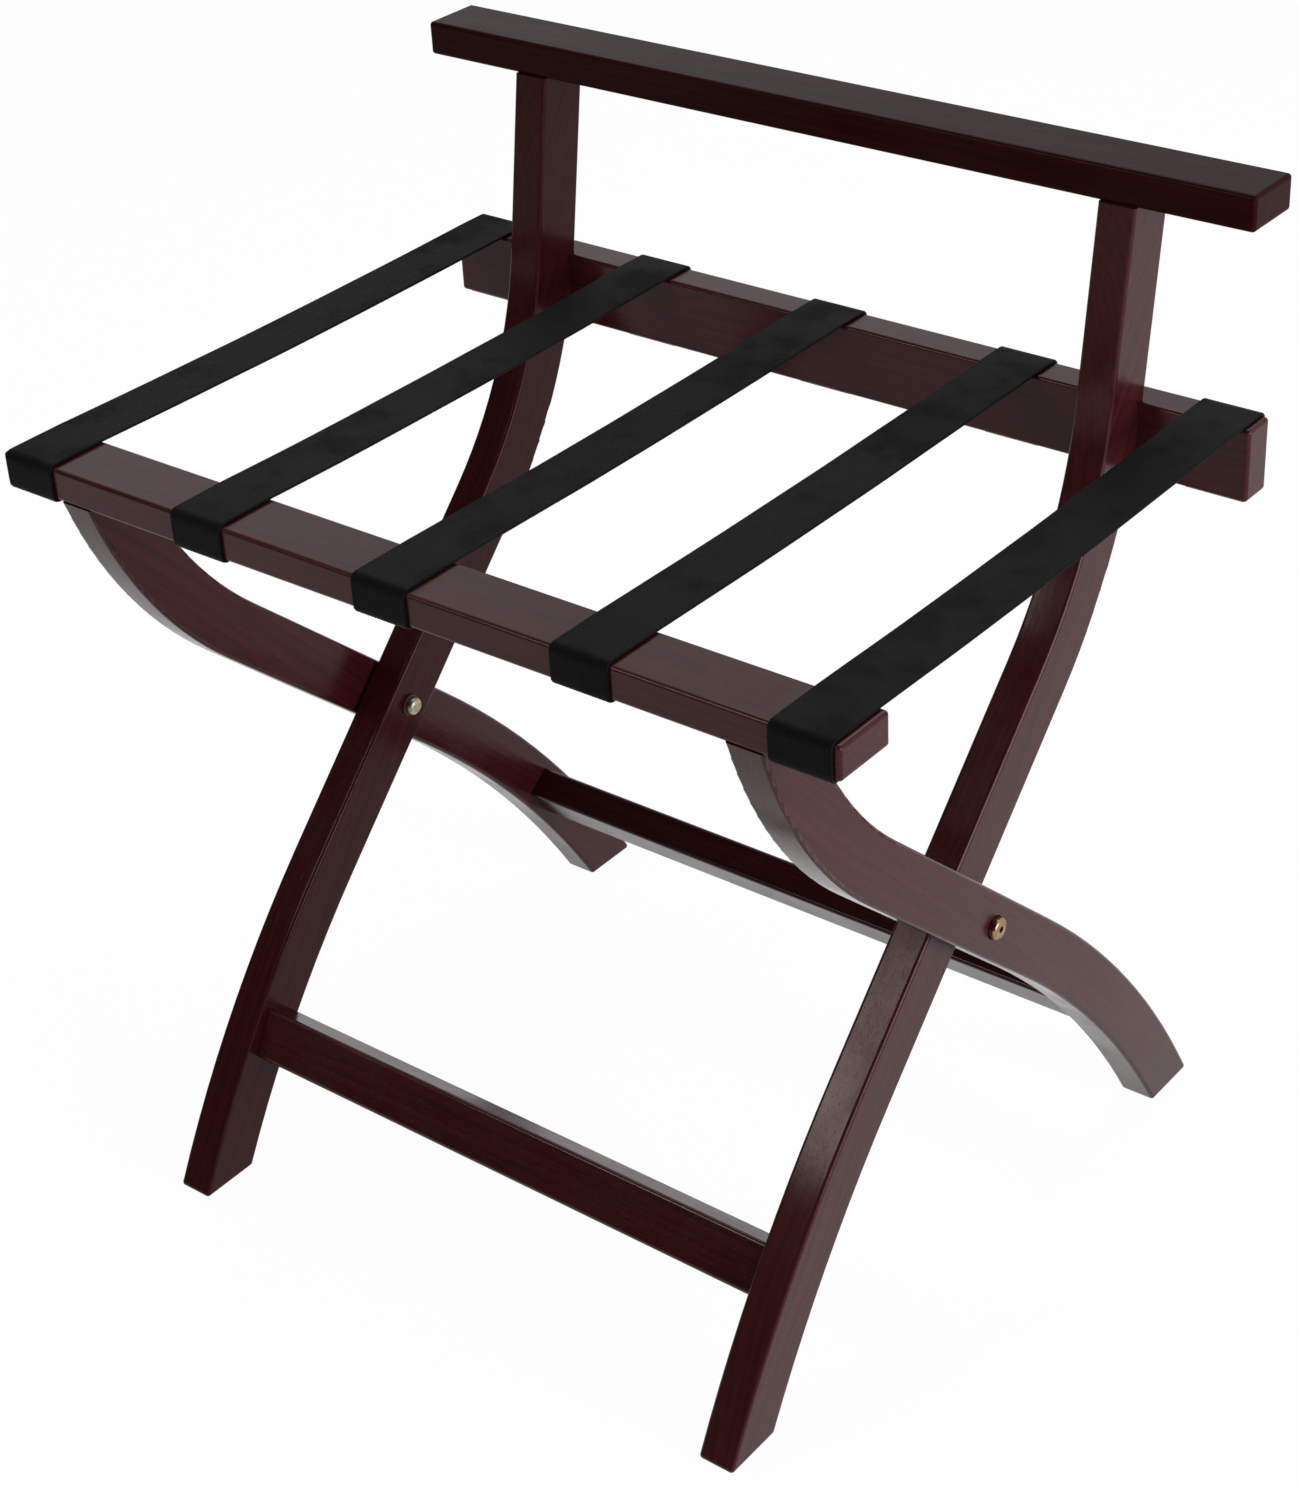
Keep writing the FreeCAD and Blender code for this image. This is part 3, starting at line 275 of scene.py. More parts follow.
patches = ramp(worn_and_highlit_arris, patches, 0.25, 0.7, LEAST_RUBBED)
worn_and_highlit_arris.links.new(calc(worn_and_highlit_arris, "MULTIPLY", wear_and_highlight, patches), give["Wear"])

# Sprayed lacquer: it sinks a little over the pores and the grain, lies in a faint orange peel
# and long low waves, and is dulled in smudges where it has been handled.
ORANGE_PEEL, PEEL_HEIGHT = (420, 420, 420), 0.06
LONG_WAVES = (26, 60, 60)
SMUDGES = (21, 21, 21)
CLEAN_ROUGHNESS, SMUDGED_ROUGHNESS = 0.17, 0.27
RUBBED_ROUGHER, PORES_ROUGHER = 0.10, 0.12
PORE_HEIGHT, RING_HEIGHT = -0.10, 0.05

sprayed_lacquer, take, give = new_group(
    "sprayed_lacquer",
    [("Place", VECTOR), ("Along", VECTOR), ("Pores", FLOAT), ("Rings", FLOAT), ("Wear", FLOAT)],
    [("Roughness", FLOAT), ("Height", FLOAT)])
peel = stretched_noise(sprayed_lacquer, take["Place"], ORANGE_PEEL, detail=1.0)
waves = stretched_noise(sprayed_lacquer, take["Along"], LONG_WAVES, detail=3.0, roughness=0.55)
smudges = stretched_noise(sprayed_lacquer, take["Place"], SMUDGES, detail=4.0, roughness=0.6)
dull = ramp(sprayed_lacquer, smudges, 0.35, 0.75, CLEAN_ROUGHNESS, SMUDGED_ROUGHNESS)
dull = calc(sprayed_lacquer, "MULTIPLY_ADD", take["Wear"], RUBBED_ROUGHER, dull)
dull = calc(sprayed_lacquer, "MULTIPLY_ADD", take["Pores"], PORES_ROUGHER, dull)
sprayed_lacquer.links.new(dull, give["Roughness"])
height = calc(sprayed_lacquer, "MULTIPLY_ADD", peel, PEEL_HEIGHT, waves)
height = calc(sprayed_lacquer, "MULTIPLY_ADD", take["Pores"], PORE_HEIGHT, height)
height = calc(sprayed_lacquer, "MULTIPLY_ADD", take["Rings"], RING_HEIGHT, height)
sprayed_lacquer.links.new(height, give["Height"])


def placed_group(tree, group, inputs):
    """A node group in a material, with its inputs linked or set."""
    return add(tree, "ShaderNodeGroup", inputs, node_tree=group).outputs


def blend_colours(tree, share, first, second):
    """Two colours mixed by a share."""
    return add(tree, "ShaderNodeMix", {0: share, 6: first, 7: second}, data_type="RGBA").outputs[2]


DARK_STAIN = (0.0235, 0.0036, 0.0044, 1)
RED_STAIN = (0.048, 0.0072, 0.0082, 1)
RUBBED_AND_HIGHLIGHT_STAIN = (0.060, 0.018, 0.018, 1)
GRAIN_LINE = (0.0100, 0.0022, 0.0026, 1)
LACQUER_TINT = (1.0, 0.86, 0.83, 1)
DARKEST_STREAK, REDDEST_STREAK = 0.24, 0.72
RING_WIDTH, RING_WANDER = 0.0042, 0.035
RING_SHARE, PORE_SHARE, WEAR_AND_HIGHLIGHT_SHARE = 0.3, 0.8, 0.12
OPEN_PORES, WEAR_REACH = 0.5, 0.75
LACQUER_DEPTH, LACQUER_RELIEF = 0.0005, 0.35
LACQUER_IOR = 1.5


def mahogany(name, pith, turn=(0, 0, 0), curved=0.0, stain_and_shade=1.0, shine=0.18):
    """Stained, lacquered board: turn carries its grain onto X, and pith is the log's centre.

    Curved is 1 for a leg; the colour scale darkens the board, as deeper stain or as painted shade; and
    shine is how much the lacquer mirrors.
    """
    material = bpy.data.materials.new(name)
    tree = clean_tree(material)
    coordinates = add(tree, "ShaderNodeTexCoord").outputs
    along = add(tree, "ShaderNodeMapping", {"Vector": coordinates["Object"], "Rotation": turn},
                vector_type="POINT").outputs[0]
    facing = add(tree, "ShaderNodeMapping", {"Vector": coordinates["Normal"], "Rotation": turn},
                 vector_type="VECTOR").outputs[0]
    in_log = add(tree, "ShaderNodeVectorMath", {0: along, 1: pith}, operation="SUBTRACT").outputs[0]
    grain = placed_group(tree, board_grain, {"Vector": in_log, "Ring Width": RING_WIDTH,
                                             "Wander": RING_WANDER, "Pore Share": OPEN_PORES})
    wear_and_highlight = placed_group(tree, worn_and_highlit_arris, {"Normal": facing, "Place": coordinates["Object"],
                                           "Curved Edges": curved, "Reach": WEAR_REACH})["Wear"]
    coat = placed_group(tree, sprayed_lacquer, {"Place": coordinates["Object"], "Along": along,
                                                "Pores": grain["Pores"], "Rings": grain["Rings"],
                                                "Wear": wear_and_highlight})
    tone = ramp(tree, grain["Streaks"], 0.3, 0.72, DARKEST_STREAK, REDDEST_STREAK)
    colour = blend_colours(tree, tone, DARK_STAIN, RED_STAIN)
    colour = blend_colours(tree, calc(tree, "MULTIPLY", grain["Rings"], RING_SHARE), colour, GRAIN_LINE)
    colour = blend_colours(tree, calc(tree, "MULTIPLY", grain["Pores"], PORE_SHARE), colour, GRAIN_LINE)
    # Rubbed stain at the arrises, lighter in colour: partly real wear, partly a painted highlight along
    # their rounding.
    colour = blend_colours(tree, calc(tree, "MULTIPLY", wear_and_highlight, WEAR_AND_HIGHLIGHT_SHARE), colour, RUBBED_AND_HIGHLIGHT_STAIN)
    # The whole board's colour is scaled down here; on some boards this darkening is painted shade.
    colour = add(tree, "ShaderNodeVectorMath", {0: colour, "Scale": stain_and_shade}, operation="SCALE").outputs[0]
    bump = add(tree, "ShaderNodeBump", {"Height": coat["Height"], "Distance": LACQUER_DEPTH,
                                         "Strength": LACQUER_RELIEF})
    skin = add(tree, "ShaderNodeBsdfPrincipled", {"Base Color": colour, "Roughness": coat["Roughness"],
                                                  "IOR": LACQUER_IOR, "Normal": bump.outputs[0],
                                                  "Specular IOR Level": shine,
                                                  "Specular Tint": LACQUER_TINT})
    add(tree, "ShaderNodeOutputMaterial", {"Surface": skin.outputs[0]})
    return material


def cover(material, *names):
    """Gives CAD nodes a material."""
    for name in names:
        for place in nodes[name].material_slots:
            place.material = material


def centre_of(name):
    """The middle of a CAD node's box."""
    low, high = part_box(name)
    return (low + high) / 2


def pith_by(name, aside, lean=0.0):
    """The centre of the log, set aside from the middle of a bar that leans about X."""
    return Matrix.Rotation(-lean, 3, "X") @ centre_of(name) + Vector(aside)


cover(mahogany("front_rail_mahogany", pith_by("front_rail", aside=(0.13, -0.012, -0.055))), "front_rail")


# ---- the outer legs ----
# Two S-shaped legs sawn from straight boards, so the grain runs straight through the bends. They
# carry the front rail, cross the inner legs at the pivots and stand on their rear feet.

outer_low, outer_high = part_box("outer_leg_left")
outer_slope = math.atan2(outer_high.z - outer_low.z, outer_low.y - outer_high.y)


def grain_turn(slope):
    """The turn that carries a direction in the YZ plane, at this slope, onto X."""
    return -slope, 0, -math.pi / 2


def to_log(point, slope, aside):
    """A point on a leg carried to its board's own axes, then moved aside to the log's pith."""
    y = point.y * math.cos(slope) + point.z * math.sin(slope)
    z = -point.y * math.sin(slope) + point.z * math.cos(slope)
    return y, -point.x + aside[0], z + aside[1]


for side, shift in (("left", 0.045), ("right", -0.07)):
    leg = f"outer_leg_{side}"
    pith = to_log(centre_of(leg), outer_slope, (shift, 0.05))
    cover(mahogany(f"{leg}_mahogany", pith, grain_turn(outer_slope), 1.0), leg)


# ---- the rear stretcher ----
# A straight bar dowelled between the outer legs near their feet, tilted to lie along them. It
# keeps the outer legs square when the rack is lifted by the seat.

# Its colour is halved: painted shade, as under a case on the seat.
pith = pith_by("rear_stretcher", aside=(0.2, 0.02, -0.06), lean=outer_slope)
cover(mahogany("rear_stretcher_mahogany", pith, (-outer_slope, 0, 0), stain_and_shade=0.5), "rear_stretcher")


# ---- the inner legs ----
# The pair that closes between the outer legs. Each runs up past the seat as a straight post, with
# a shallow housing in its back for the rear rail.

inner_low, inner_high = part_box("inner_leg_left")
inner_slope = math.atan2(inner_high.z - inner_low.z, inner_high.y - inner_low.y)
# The left leg's colour is scaled to 0.8: painted shade on its inner side, which looks across at the right
# legs.
for side, shift, stain_and_shade, shine in (("left", -0.06, 0.8, 0.10), ("right", 0.04, 1.0, 0.18)):
    leg = f"inner_leg_{side}"
    pith = to_log(centre_of(leg), inner_slope, (shift, -0.045))
    cover(mahogany(f"{leg}_mahogany", pith, grain_turn(inner_slope), 1.0, stain_and_shade, shine), leg)


# ---- the front stretcher ----
# The inner legs' own bar, low down at the front, dowelled and tilted like the rear one.

pith = pith_by("front_stretcher", aside=(-0.3, 0.03, 0.05), lean=inner_slope)
cover(mahogany("front_stretcher_mahogany", pith, (-inner_slope, 0, 0), stain_and_shade=0.95, shine=0.3),
      "front_stretcher")


# ---- the rear rail ----
# A board on edge behind the inner legs, screwed into their housings. It carries the straps' rear
# ends and is taller than the front rail, so that the load does not bend it.

cover(mahogany("rear_rail_mahogany", pith_by("rear_rail", aside=(-0.21, -0.05, 0.03))), "rear_rail")


# ---- the back bar ----
# It lies across the tops of the inner legs' posts and keeps a suitcase off the wall.

# Its colour is halved: painted shade, as cast on the bar by a case on the seat.
pith = pith_by("back_bar", aside=(0.05, 0.02, -0.06))
cover(mahogany("back_bar_mahogany", pith, stain_and_shade=0.5, shine=0.03), "back_bar")


# ---- the dowels ----
# Plain beech pins, glued blind into the joints between legs, rails and stretchers.

PALE_BEECH = (0.62, 0.42, 0.24, 1)
STREAKED_BEECH = (0.45, 0.28, 0.15, 1)
BEECH_PORE = (0.24, 0.12, 0.06, 1)
BEECH_RING, BEECH_WANDER, BEECH_PORES = 0.002, 0.01, 0.8
BEECH_ROUGHNESS, RINGS_ROUGHER = 0.55, 0.12


def beech(name, turn=(0, 0, 0)):
    """Pale bare hardwood."""
    material = bpy.data.materials.new(name)
    tree = clean_tree(material)
    coordinates = add(tree, "ShaderNodeTexCoord").outputs
    along = add(tree, "ShaderNodeMapping", {"Vector": coordinates["Object"], "Rotation": turn},
                vector_type="POINT").outputs[0]
    grain = placed_group(tree, board_grain, {"Vector": along, "Ring Width": BEECH_RING,
                                             "Wander": BEECH_WANDER, "Pore Share": BEECH_PORES})
    colour = blend_colours(tree, grain["Streaks"], STREAKED_BEECH, PALE_BEECH)
    colour = blend_colours(tree, grain["Pores"], colour, BEECH_PORE)
    bump = add(tree, "ShaderNodeBump", {"Height": grain["Pores"], "Distance": -0.0001, "Strength": 0.5})
    rough = calc(tree, "MULTIPLY_ADD", grain["Rings"], RINGS_ROUGHER, BEECH_ROUGHNESS)
    skin = add(tree, "ShaderNodeBsdfPrincipled", {"Base Color": colour, "Roughness": rough,
                                                  "Normal": bump.outputs[0]})
    add(tree, "ShaderNodeOutputMaterial", {"Surface": skin.outputs[0]})
    return material


cover(beech("crosswise_beech"), "front_stretcher_dowels", "rear_stretcher_dowels")
cover(beech("upright_beech", (0, math.pi / 2, 0)), "front_rail_dowels", "back_bar_dowels")


# ---- the pivots ----
# A brass bolt stands in a shallow counterbore of each outer leg. It runs through a nylon spacer
# between the legs and through the inner leg, and a domed brass nut on a dark washer closes it.

TARNISH_SPOTS = (240, 240, 240)
SCRATCH_GRAIN = (900, 160, 6000)
SCRATCH_HEIGHT = -0.5

scuffed_metal, take, give = new_group(
    "scuffed_metal",
    [("Vector", VECTOR), ("Turning Pitch", FLOAT), ("Scratch Share", FLOAT)],
    [("Tarnish", FLOAT), ("Height", FLOAT), ("Scratches", FLOAT)])
parts = apart(scuffed_metal, take["Vector"])
radius = hypotenuse(scuffed_metal, parts["Y"], parts["Z"])
turns = calc(scuffed_metal, "DIVIDE", radius, take["Turning Pitch"])
turned = add(scuffed_metal, "ShaderNodeTexNoise", {"W": turns, "Scale": 1.0, "Detail": 2.0},
             noise_dimensions="1D").outputs["Fac"]
tarnish = stretched_noise(scuffed_metal, take["Vector"], TARNISH_SPOTS, detail=4.0, roughness=0.6)
scratches = ramp(scuffed_metal, stretched_noise(scuffed_metal, take["Vector"], SCRATCH_GRAIN), 0.6, 0.72)
scratches = calc(scuffed_metal, "MULTIPLY", scratches, take["Scratch Share"])
scuffed_metal.links.new(ramp(scuffed_metal, tarnish, 0.3, 0.75), give["Tarnish"])
scored = calc(scuffed_metal, "MULTIPLY_ADD", scratches, SCRATCH_HEIGHT, turned)
scuffed_metal.links.new(scored, give["Height"])
scuffed_metal.links.new(scratches, give["Scratches"])


MARK_DEPTH, MARK_RELIEF = 0.00004, 0.5
SCRATCH_SHARE, SCRATCHES_ROUGHER = 0.6, 0.1


def metal(name, bright, dulled, axis_at, pitch, smooth=0.2, rough=0.42):
    """Turned or drawn metal whose marks circle an axis along X, at this pitch."""
    material = bpy.data.materials.new(name)
    tree = clean_tree(material)
    place = add(tree, "ShaderNodeTexCoord").outputs["Object"]
    centred = add(tree, "ShaderNodeMapping", {"Vector": place, "Location": (0, -axis_at[0], -axis_at[1])},
                  vector_type="POINT").outputs[0]
    marks = placed_group(tree, scuffed_metal, {"Vector": centred, "Turning Pitch": pitch,
                                               "Scratch Share": SCRATCH_SHARE})
    colour = blend_colours(tree, marks["Tarnish"], bright, dulled)
    roughness = calc(tree, "MULTIPLY_ADD", marks["Tarnish"], rough - smooth, smooth)
    roughness = calc(tree, "MULTIPLY_ADD", marks["Scratches"], SCRATCHES_ROUGHER, roughness)
    bump = add(tree, "ShaderNodeBump", {"Height": marks["Height"], "Distance": MARK_DEPTH,
                                         "Strength": MARK_RELIEF})
    skin = add(tree, "ShaderNodeBsdfPrincipled", {"Base Color": colour, "Roughness": roughness,
                                                  "Metallic": 1.0, "Normal": bump.outputs[0]})
    add(tree, "ShaderNodeOutputMaterial", {"Surface": skin.outputs[0]})
    return material


MOTTLE, SPECKLE = (300, 300, 300), (2600, 2600, 2600)
SPECKLE_DEPTH, SPECKLE_RELIEF = 0.00003, 0.5


def moulded(name, light, dark, smooth=0.38, rough=0.55):
    """Moulded plastic or rubber, faintly mottled and grained."""
    material = bpy.data.materials.new(name)
    tree = clean_tree(material)
    place = add(tree, "ShaderNodeTexCoord").outputs["Object"]
    mottle = stretched_noise(tree, place, MOTTLE, detail=3.0, roughness=0.6)
    speckle = stretched_noise(tree, place, SPECKLE, detail=1.0)
    bump = add(tree, "ShaderNodeBump", {"Height": speckle, "Distance": SPECKLE_DEPTH,
                                         "Strength": SPECKLE_RELIEF})
    skin = add(tree, "ShaderNodeBsdfPrincipled", {"Base Color": blend_colours(tree, mottle, dark, light),
                                                  "Roughness": ramp(tree, mottle, 0.3, 0.7, smooth, rough),
                                                  "Normal": bump.outputs[0]})
    add(tree, "ShaderNodeOutputMaterial", {"Surface": skin.outputs[0]})
    return material


COPPERY_BRASS, DULLED_COPPERY = (0.38, 0.25, 0.15, 1), (0.22, 0.12, 0.07, 1)
PALE_BRASS, DULLED_PALE = (0.44, 0.39, 0.29, 1), (0.26, 0.22, 0.15, 1)
GREY_NYLON, BLACK_NYLON = (0.022, 0.020, 0.019, 1), (0.012, 0.011, 0.011, 1)
BROWN_FIBRE, DARK_FIBRE = (0.016, 0.011, 0.010, 1), (0.007, 0.005, 0.005, 1)
LATHE_PITCH = 0.00035

pivot = centre_of("pivot_bolt_left")
pivot_axis = (pivot.y, pivot.z)
cover(metal("turned_brass", COPPERY_BRASS, DULLED_COPPERY, pivot_axis, LATHE_PITCH),
      "pivot_bolt_left", "pivot_bolt_right")
cover(metal("pale_brass", PALE_BRASS, DULLED_PALE, pivot_axis, LATHE_PITCH, smooth=0.3, rough=0.5),
      "pivot_nut_left", "pivot_nut_right")
cover(moulded("black_nylon", GREY_NYLON, BLACK_NYLON), "pivot_spacer_left", "pivot_spacer_right")
cover(moulded("dark_fibre", BROWN_FIBRE, DARK_FIBRE, smooth=0.5, rough=0.7),
      "nut_washer_left", "nut_washer_right")


# ---- the rear rail's screws ----
# Zinc-plated countersunk wood screws, driven from behind, flush with the rail.

BRIGHT_ZINC, DULLED_ZINC = (0.56, 0.55, 0.50, 1), (0.33, 0.31, 0.27, 1)

zinc = metal("zinc_plate", BRIGHT_ZINC, DULLED_ZINC, axis_at=(0, 0), pitch=0.0007, smooth=0.3, rough=0.5)
cover(zinc, "rear_rail_screws")


# ---- the webbing straps ----
# Five bands of black woven webbing, 40 mm wide. Each is stapled under the front rail, drawn over
# it and across to the rear rail, and stapled under that. The ends are cut hot, which seals them.

STRAP_THICKNESS = 0.0018
STRAP_CLEAR = 0.0003
RAIL_ROUND = 0.0025
FRONT_TUCK = 0.033
REAR_TUCK = 0.019
STRAP_SAG = 0.0022

# The webbing is drawn as a thin ribbed section swept along a rounded route. Each point keeps its
# own place across and along the band, which is where the weave is laid out.
CORNER_STEPS = 7
STRAY_GRAIN = 9.0
EDGE_ROUND, EDGE_STEPS = 0.48, 4
SECTION_STEP = 0.00052

GEOMETRY = "NodeSocketGeometry"
webbing_tree = bpy.data.node_groups.new("webbing_along_path", "GeometryNodeTree")
for label, kind in (("Path", GEOMETRY), ("Width", FLOAT), ("Thickness", FLOAT), ("Corner", FLOAT),
                    ("Step", FLOAT), ("Rib Pitch", FLOAT), ("Rib Depth", FLOAT), ("Selvedge", FLOAT),
                    ("Sag", FLOAT), ("Front Edge", FLOAT), ("Rear Edge", FLOAT), ("Top", FLOAT),
                    ("Stray", FLOAT), ("Seed", FLOAT), ("Material", "NodeSocketMaterial")):
    webbing_tree.interface.new_socket(name=label, in_out="INPUT", socket_type=kind)
webbing_tree.interface.new_socket(name="Band", in_out="OUTPUT", socket_type=GEOMETRY)
webbing_in = webbing_tree.nodes.new("NodeGroupInput").outputs


def vector_of(tree, x=0.0, y=0.0, z=0.0):
    """Three values joined into a vector."""
    return add(tree, "ShaderNodeCombineXYZ", {0: x, 1: y, 2: z}).outputs[0]


t = webbing_tree
rounded = add(t, "GeometryNodeFilletCurve", {"Curve": webbing_in["Path"], "Radius": webbing_in["Corner"],
                                             "Count": CORNER_STEPS}, mode="POLY")
stepped = add(t, "GeometryNodeResampleCurve", {"Curve": rounded.outputs[0], "Length": webbing_in["Step"]},
              mode="LENGTH")
here = apart(t, add(t, "GeometryNodeInputPosition").outputs[0])
share = add(t, "ShaderNodeMapRange", {"Value": here["Y"], "From Min": webbing_in["Front Edge"],
                                      "From Max": webbing_in["Rear Edge"]}).outputs[0]
droop = calc(t, "MULTIPLY", calc(t, "MULTIPLY", share, calc(t, "SUBTRACT", 1.0, share)), -4.0)
on_top = calc(t, "GREATER_THAN", here["Z"], webbing_in["Top"])
droop = calc(t, "MULTIPLY", calc(t, "MULTIPLY", droop, on_top), webbing_in["Sag"])
noise_at = vector_of(t, webbing_in["Seed"], here["Y"], here["Z"])
along_noise = add(t, "ShaderNodeTexNoise", {"Vector": noise_at, "Scale": STRAY_GRAIN, "Detail": 1.0})
stray = calc(t, "MULTIPLY", calc(t, "SUBTRACT", along_noise.outputs["Fac"], 0.5), webbing_in["Stray"])
laid = add(t, "GeometryNodeSetPosition", {"Geometry": stepped.outputs[0],
                                          "Offset": vector_of(t, stray, 0.0, droop)})
facing = add(t, "GeometryNodeSetCurveNormal", {"Curve": laid.outputs[0], "Normal": (1, 0, 0)}, mode="FREE")
length_along = add(t, "GeometryNodeCaptureAttribute", {"Geometry": facing.outputs[0]}, domain="POINT")
length_along.capture_items.new("FLOAT", "Along")
t.links.new(add(t, "GeometryNodeSplineParameter").outputs["Length"], length_along.inputs["Along"])

section = add(t, "GeometryNodeCurvePrimitiveQuadrilateral",
              {"Width": webbing_in["Width"], "Height": webbing_in["Thickness"]}, mode="RECTANGLE")
soft_section = add(t, "GeometryNodeFilletCurve",
                   {"Curve": section.outputs[0], "Count": EDGE_STEPS, "Limit Radius": True,
                    "Radius": calc(t, "MULTIPLY", webbing_in["Thickness"], EDGE_ROUND)}, mode="POLY")
fine_section = add(t, "GeometryNodeResampleCurve",
                   {"Curve": soft_section.outputs[0], "Length": SECTION_STEP}, mode="LENGTH")
side_place = apart(t, add(t, "GeometryNodeInputPosition").outputs[0])
ribs_across = calc(t, "DIVIDE", side_place["X"], webbing_in["Rib Pitch"])
rib = calc(t, "COSINE", calc(t, "MULTIPLY", ribs_across, math.tau))
half_rib = calc(t, "MULTIPLY", webbing_in["Rib Depth"], 0.5)
rib = calc(t, "MULTIPLY", calc(t, "SUBTRACT", rib, 1.0), half_rib)
inside = calc(t, "LESS_THAN", calc(t, "ABSOLUTE", side_place["X"]),
              calc(t, "SUBTRACT", calc(t, "MULTIPLY", webbing_in["Width"], 0.5), webbing_in["Selvedge"]))
rib = calc(t, "MULTIPLY", calc(t, "MULTIPLY", rib, inside), calc(t, "SIGN", side_place["Y"]))
ribbed = add(t, "GeometryNodeSetPosition", {"Geometry": fine_section.outputs[0],
                                            "Offset": vector_of(t, 0.0, rib)})
across_band = add(t, "GeometryNodeCaptureAttribute", {"Geometry": ribbed.outputs[0]}, domain="POINT")
across_band.capture_items.new("FLOAT", "Across")
t.links.new(side_place["X"], across_band.inputs["Across"])

woven = add(t, "GeometryNodeCurveToMesh", {"Curve": length_along.outputs[0],
                                           "Profile Curve": across_band.outputs[0], "Fill Caps": True})
mapped = add(t, "GeometryNodeStoreNamedAttribute",
             {"Geometry": woven.outputs[0], "Name": "UVMap",
              "Value": vector_of(t, across_band.outputs[1], length_along.outputs[1])},
             data_type="FLOAT2", domain="CORNER")
smooth = add(t, "GeometryNodeSetShadeSmooth", {"Geometry": mapped.outputs[0]})
real = add(t, "GeometryNodeRealizeInstances", {"Geometry": smooth.outputs[0]})
dyed = add(t, "GeometryNodeSetMaterial", {"Geometry": real.outputs[0],
                                          "Material": webbing_in["Material"]})
add(t, "NodeGroupOutput", {0: dyed.outputs[0]})

# Plain weave seen close: yarns along the band pass over and under the picks across it.
OVER_CROWN, OVER_LEAST = 0.6, 0.4
UNDER_CROWN, UNDER_LEAST = 0.3, 0.25
YARN_FIBRES = (900, 60, 0)

plain_weave, take, give = new_group(
    "plain_weave",
    [("UV", VECTOR), ("Warp Pitch", FLOAT), ("Weft Pitch", FLOAT)],
    [("Height", FLOAT), ("Yarn Tone", FLOAT)])
parts = apart(plain_weave, take["UV"])
warp = calc(plain_weave, "DIVIDE", parts["X"], take["Warp Pitch"])
weft = calc(plain_weave, "DIVIDE", parts["Y"], take["Weft Pitch"])
odd = calc(plain_weave, "FLOORED_MODULO", calc(plain_weave, "ADD", calc(plain_weave, "FLOOR", warp),
                                               calc(plain_weave, "FLOOR", weft)), 2.0)
warp_round, weft_round = (
    calc(plain_weave, "SINE", calc(plain_weave, "MULTIPLY", calc(plain_weave, "FRACT", yarns), math.pi))
    for yarns in (warp, weft))
crown = calc(plain_weave, "MULTIPLY_ADD", weft_round, OVER_CROWN, OVER_LEAST)
over = calc(plain_weave, "MULTIPLY", warp_round, crown)
crown = calc(plain_weave, "MULTIPLY_ADD", warp_round, UNDER_CROWN, UNDER_LEAST)
under = calc(plain_weave, "MULTIPLY", weft_round, crown)
weave = add(plain_weave, "ShaderNodeMix", {0: odd, 2: under, 3: over}).outputs[0]
fibres = stretched_noise(plain_weave, take["UV"], YARN_FIBRES, detail=3.0)
plain_weave.links.new(weave, give["Height"])
plain_weave.links.new(calc(plain_weave, "MULTIPLY", weave, fibres), give["Yarn Tone"])

WARP_PITCH, WEFT_PITCH = 0.00125, 0.00105
WEAVE_DEPTH, WEAVE_RELIEF = 0.00016, 0.7
DEEP_YARN, TOP_YARN = (0.0012, 0.0012, 0.0011, 1), (0.0046, 0.0045, 0.0042, 1)
DUST, DUST_SHARE, DUST_PATCHES = (0.009, 0.0087, 0.008, 1), 0.15, (28, 28, 28)
CLEAN_CLOTH, DUSTY_CLOTH = 0.62, 0.78

webbing = bpy.data.materials.new("black_webbing")
tree = clean_tree(webbing)
band = add(tree, "ShaderNodeUVMap", uv_map="UVMap").outputs[0]
place = add(tree, "ShaderNodeTexCoord").outputs["Object"]
weave = placed_group(tree, plain_weave, {"UV": band, "Warp Pitch": WARP_PITCH, "Weft Pitch": WEFT_PITCH})
dust = stretched_noise(tree, place, DUST_PATCHES, detail=4.0, roughness=0.6)
dust = ramp(tree, dust, 0.4, 0.75)
colour = blend_colours(tree, ramp(tree, weave["Yarn Tone"], 0.05, 0.5), DEEP_YARN, TOP_YARN)
colour = blend_colours(tree, calc(tree, "MULTIPLY", dust, DUST_SHARE), colour, DUST)
bump = add(tree, "ShaderNodeBump", {"Height": weave["Height"], "Distance": WEAVE_DEPTH,
                                     "Strength": WEAVE_RELIEF})
cloth = ramp(tree, dust, 0, 1, CLEAN_CLOTH, DUSTY_CLOTH)
skin = add(tree, "ShaderNodeBsdfPrincipled", {"Base Color": colour, "Roughness": cloth,
                                              "Specular IOR Level": 0.06, "Sheen Weight": 0.01,
                                              "Sheen Roughness": 0.45, "Normal": bump.outputs[0]})
add(tree, "ShaderNodeOutputMaterial", {"Surface": skin.outputs[0]})

# The route goes round both rails, seen from the side: Y, then Z, from the tuck under the front rail.
front_low, front_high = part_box("front_rail")
rear_low, rear_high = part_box("rear_rail")
off = STRAP_CLEAR + STRAP_THICKNESS / 2
strap_route = [(front_low.y + FRONT_TUCK, front_low.z - off), (front_low.y - off, front_low.z - off),
               (front_low.y - off, front_high.z + off), (rear_high.y + off, rear_high.z + off),
               (rear_high.y + off, rear_low.z - off), (rear_high.y - REAR_TUCK, rear_low.z - off)]


WIDTH_TRIM = 0.0006
ROUTE_STEP = 0.0022
RIB_PITCH, RIB_DEPTH, SELVEDGE = 0.0025, 0.0001, 0.0012
STRAY = 0.0012
SEED_STEP = 3.7


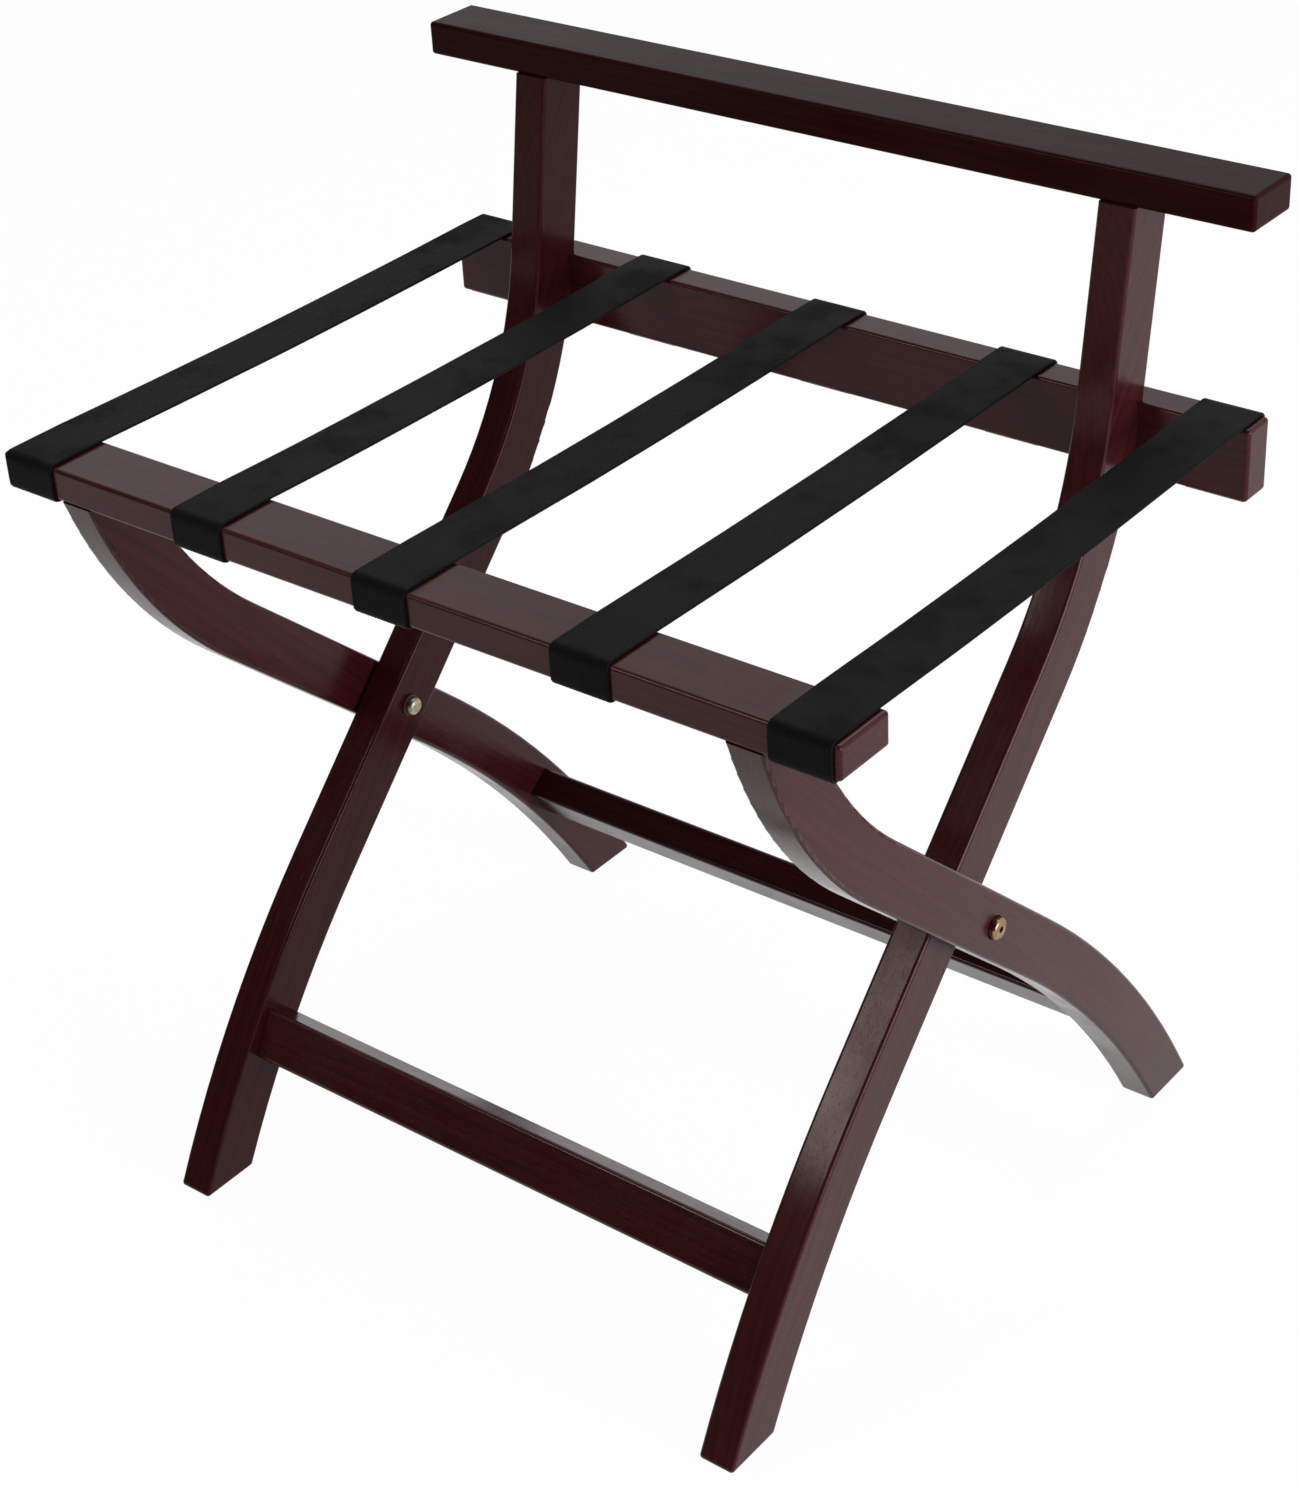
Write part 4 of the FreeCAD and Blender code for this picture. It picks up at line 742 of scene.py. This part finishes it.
def set_inputs(modifier, values):
    """Sets a Geometry Nodes modifier's inputs by name, through each socket's identifier."""
    for item in modifier.node_group.interface.items_tree:
        if item.in_out == "INPUT" and item.name in values:
            modifier[item.identifier] = values[item.name]


def webbing_strap(number):
    """One strap, woven along its route at its own place across the rack."""
    low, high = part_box(f"strap_{number}")
    middle_x = (low.x + high.x) / 2
    line = bpy.data.curves.new("strap_route", "CURVE")
    line.dimensions = "3D"
    spline = line.splines.new("POLY")
    spline.points.add(len(strap_route) - 1)
    for point, (y, z) in zip(spline.points, strap_route):
        point.co = (middle_x, y, z, 1)
    route = bpy.data.objects.new("strap_route", line)
    bpy.context.scene.collection.objects.link(route)
    weaver = route.modifiers.new("weave", "NODES")
    weaver.node_group = webbing_tree
    set_inputs(weaver, {
        "Width": high.x - low.x - WIDTH_TRIM, "Thickness": STRAP_THICKNESS, "Corner": RAIL_ROUND + off,
        "Step": ROUTE_STEP, "Rib Pitch": RIB_PITCH, "Rib Depth": RIB_DEPTH, "Selvedge": SELVEDGE,
        "Sag": STRAP_SAG, "Front Edge": front_high.y, "Rear Edge": rear_low.y, "Top": rear_high.z,
        "Stray": STRAY, "Seed": SEED_STEP * number, "Material": webbing})
    bpy.context.view_layer.update()
    evaluated = route.evaluated_get(bpy.context.evaluated_depsgraph_get())
    mesh = bpy.data.meshes.new_from_object(evaluated)
    strap = bpy.data.objects.new(f"webbing_strap_{number}", mesh)
    bpy.context.scene.collection.objects.link(strap)
    bpy.data.objects.remove(route)
    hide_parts(f"strap_{number}")
    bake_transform(strap)
    return strap


for number in range(1, 6):
    strap = webbing_strap(number)


# ---- the staples ----
# Galvanised wire staples, three across each strap's end, driven up into the rails.

BRIGHT_WIRE, DULLED_WIRE = (0.55, 0.56, 0.57, 1), (0.34, 0.35, 0.36, 1)

wire = metal("galvanised_wire", BRIGHT_WIRE, DULLED_WIRE, axis_at=(0, 0), pitch=0.0005,
             smooth=0.28, rough=0.5)
cover(wire, "front_strap_staples", "rear_strap_staples")
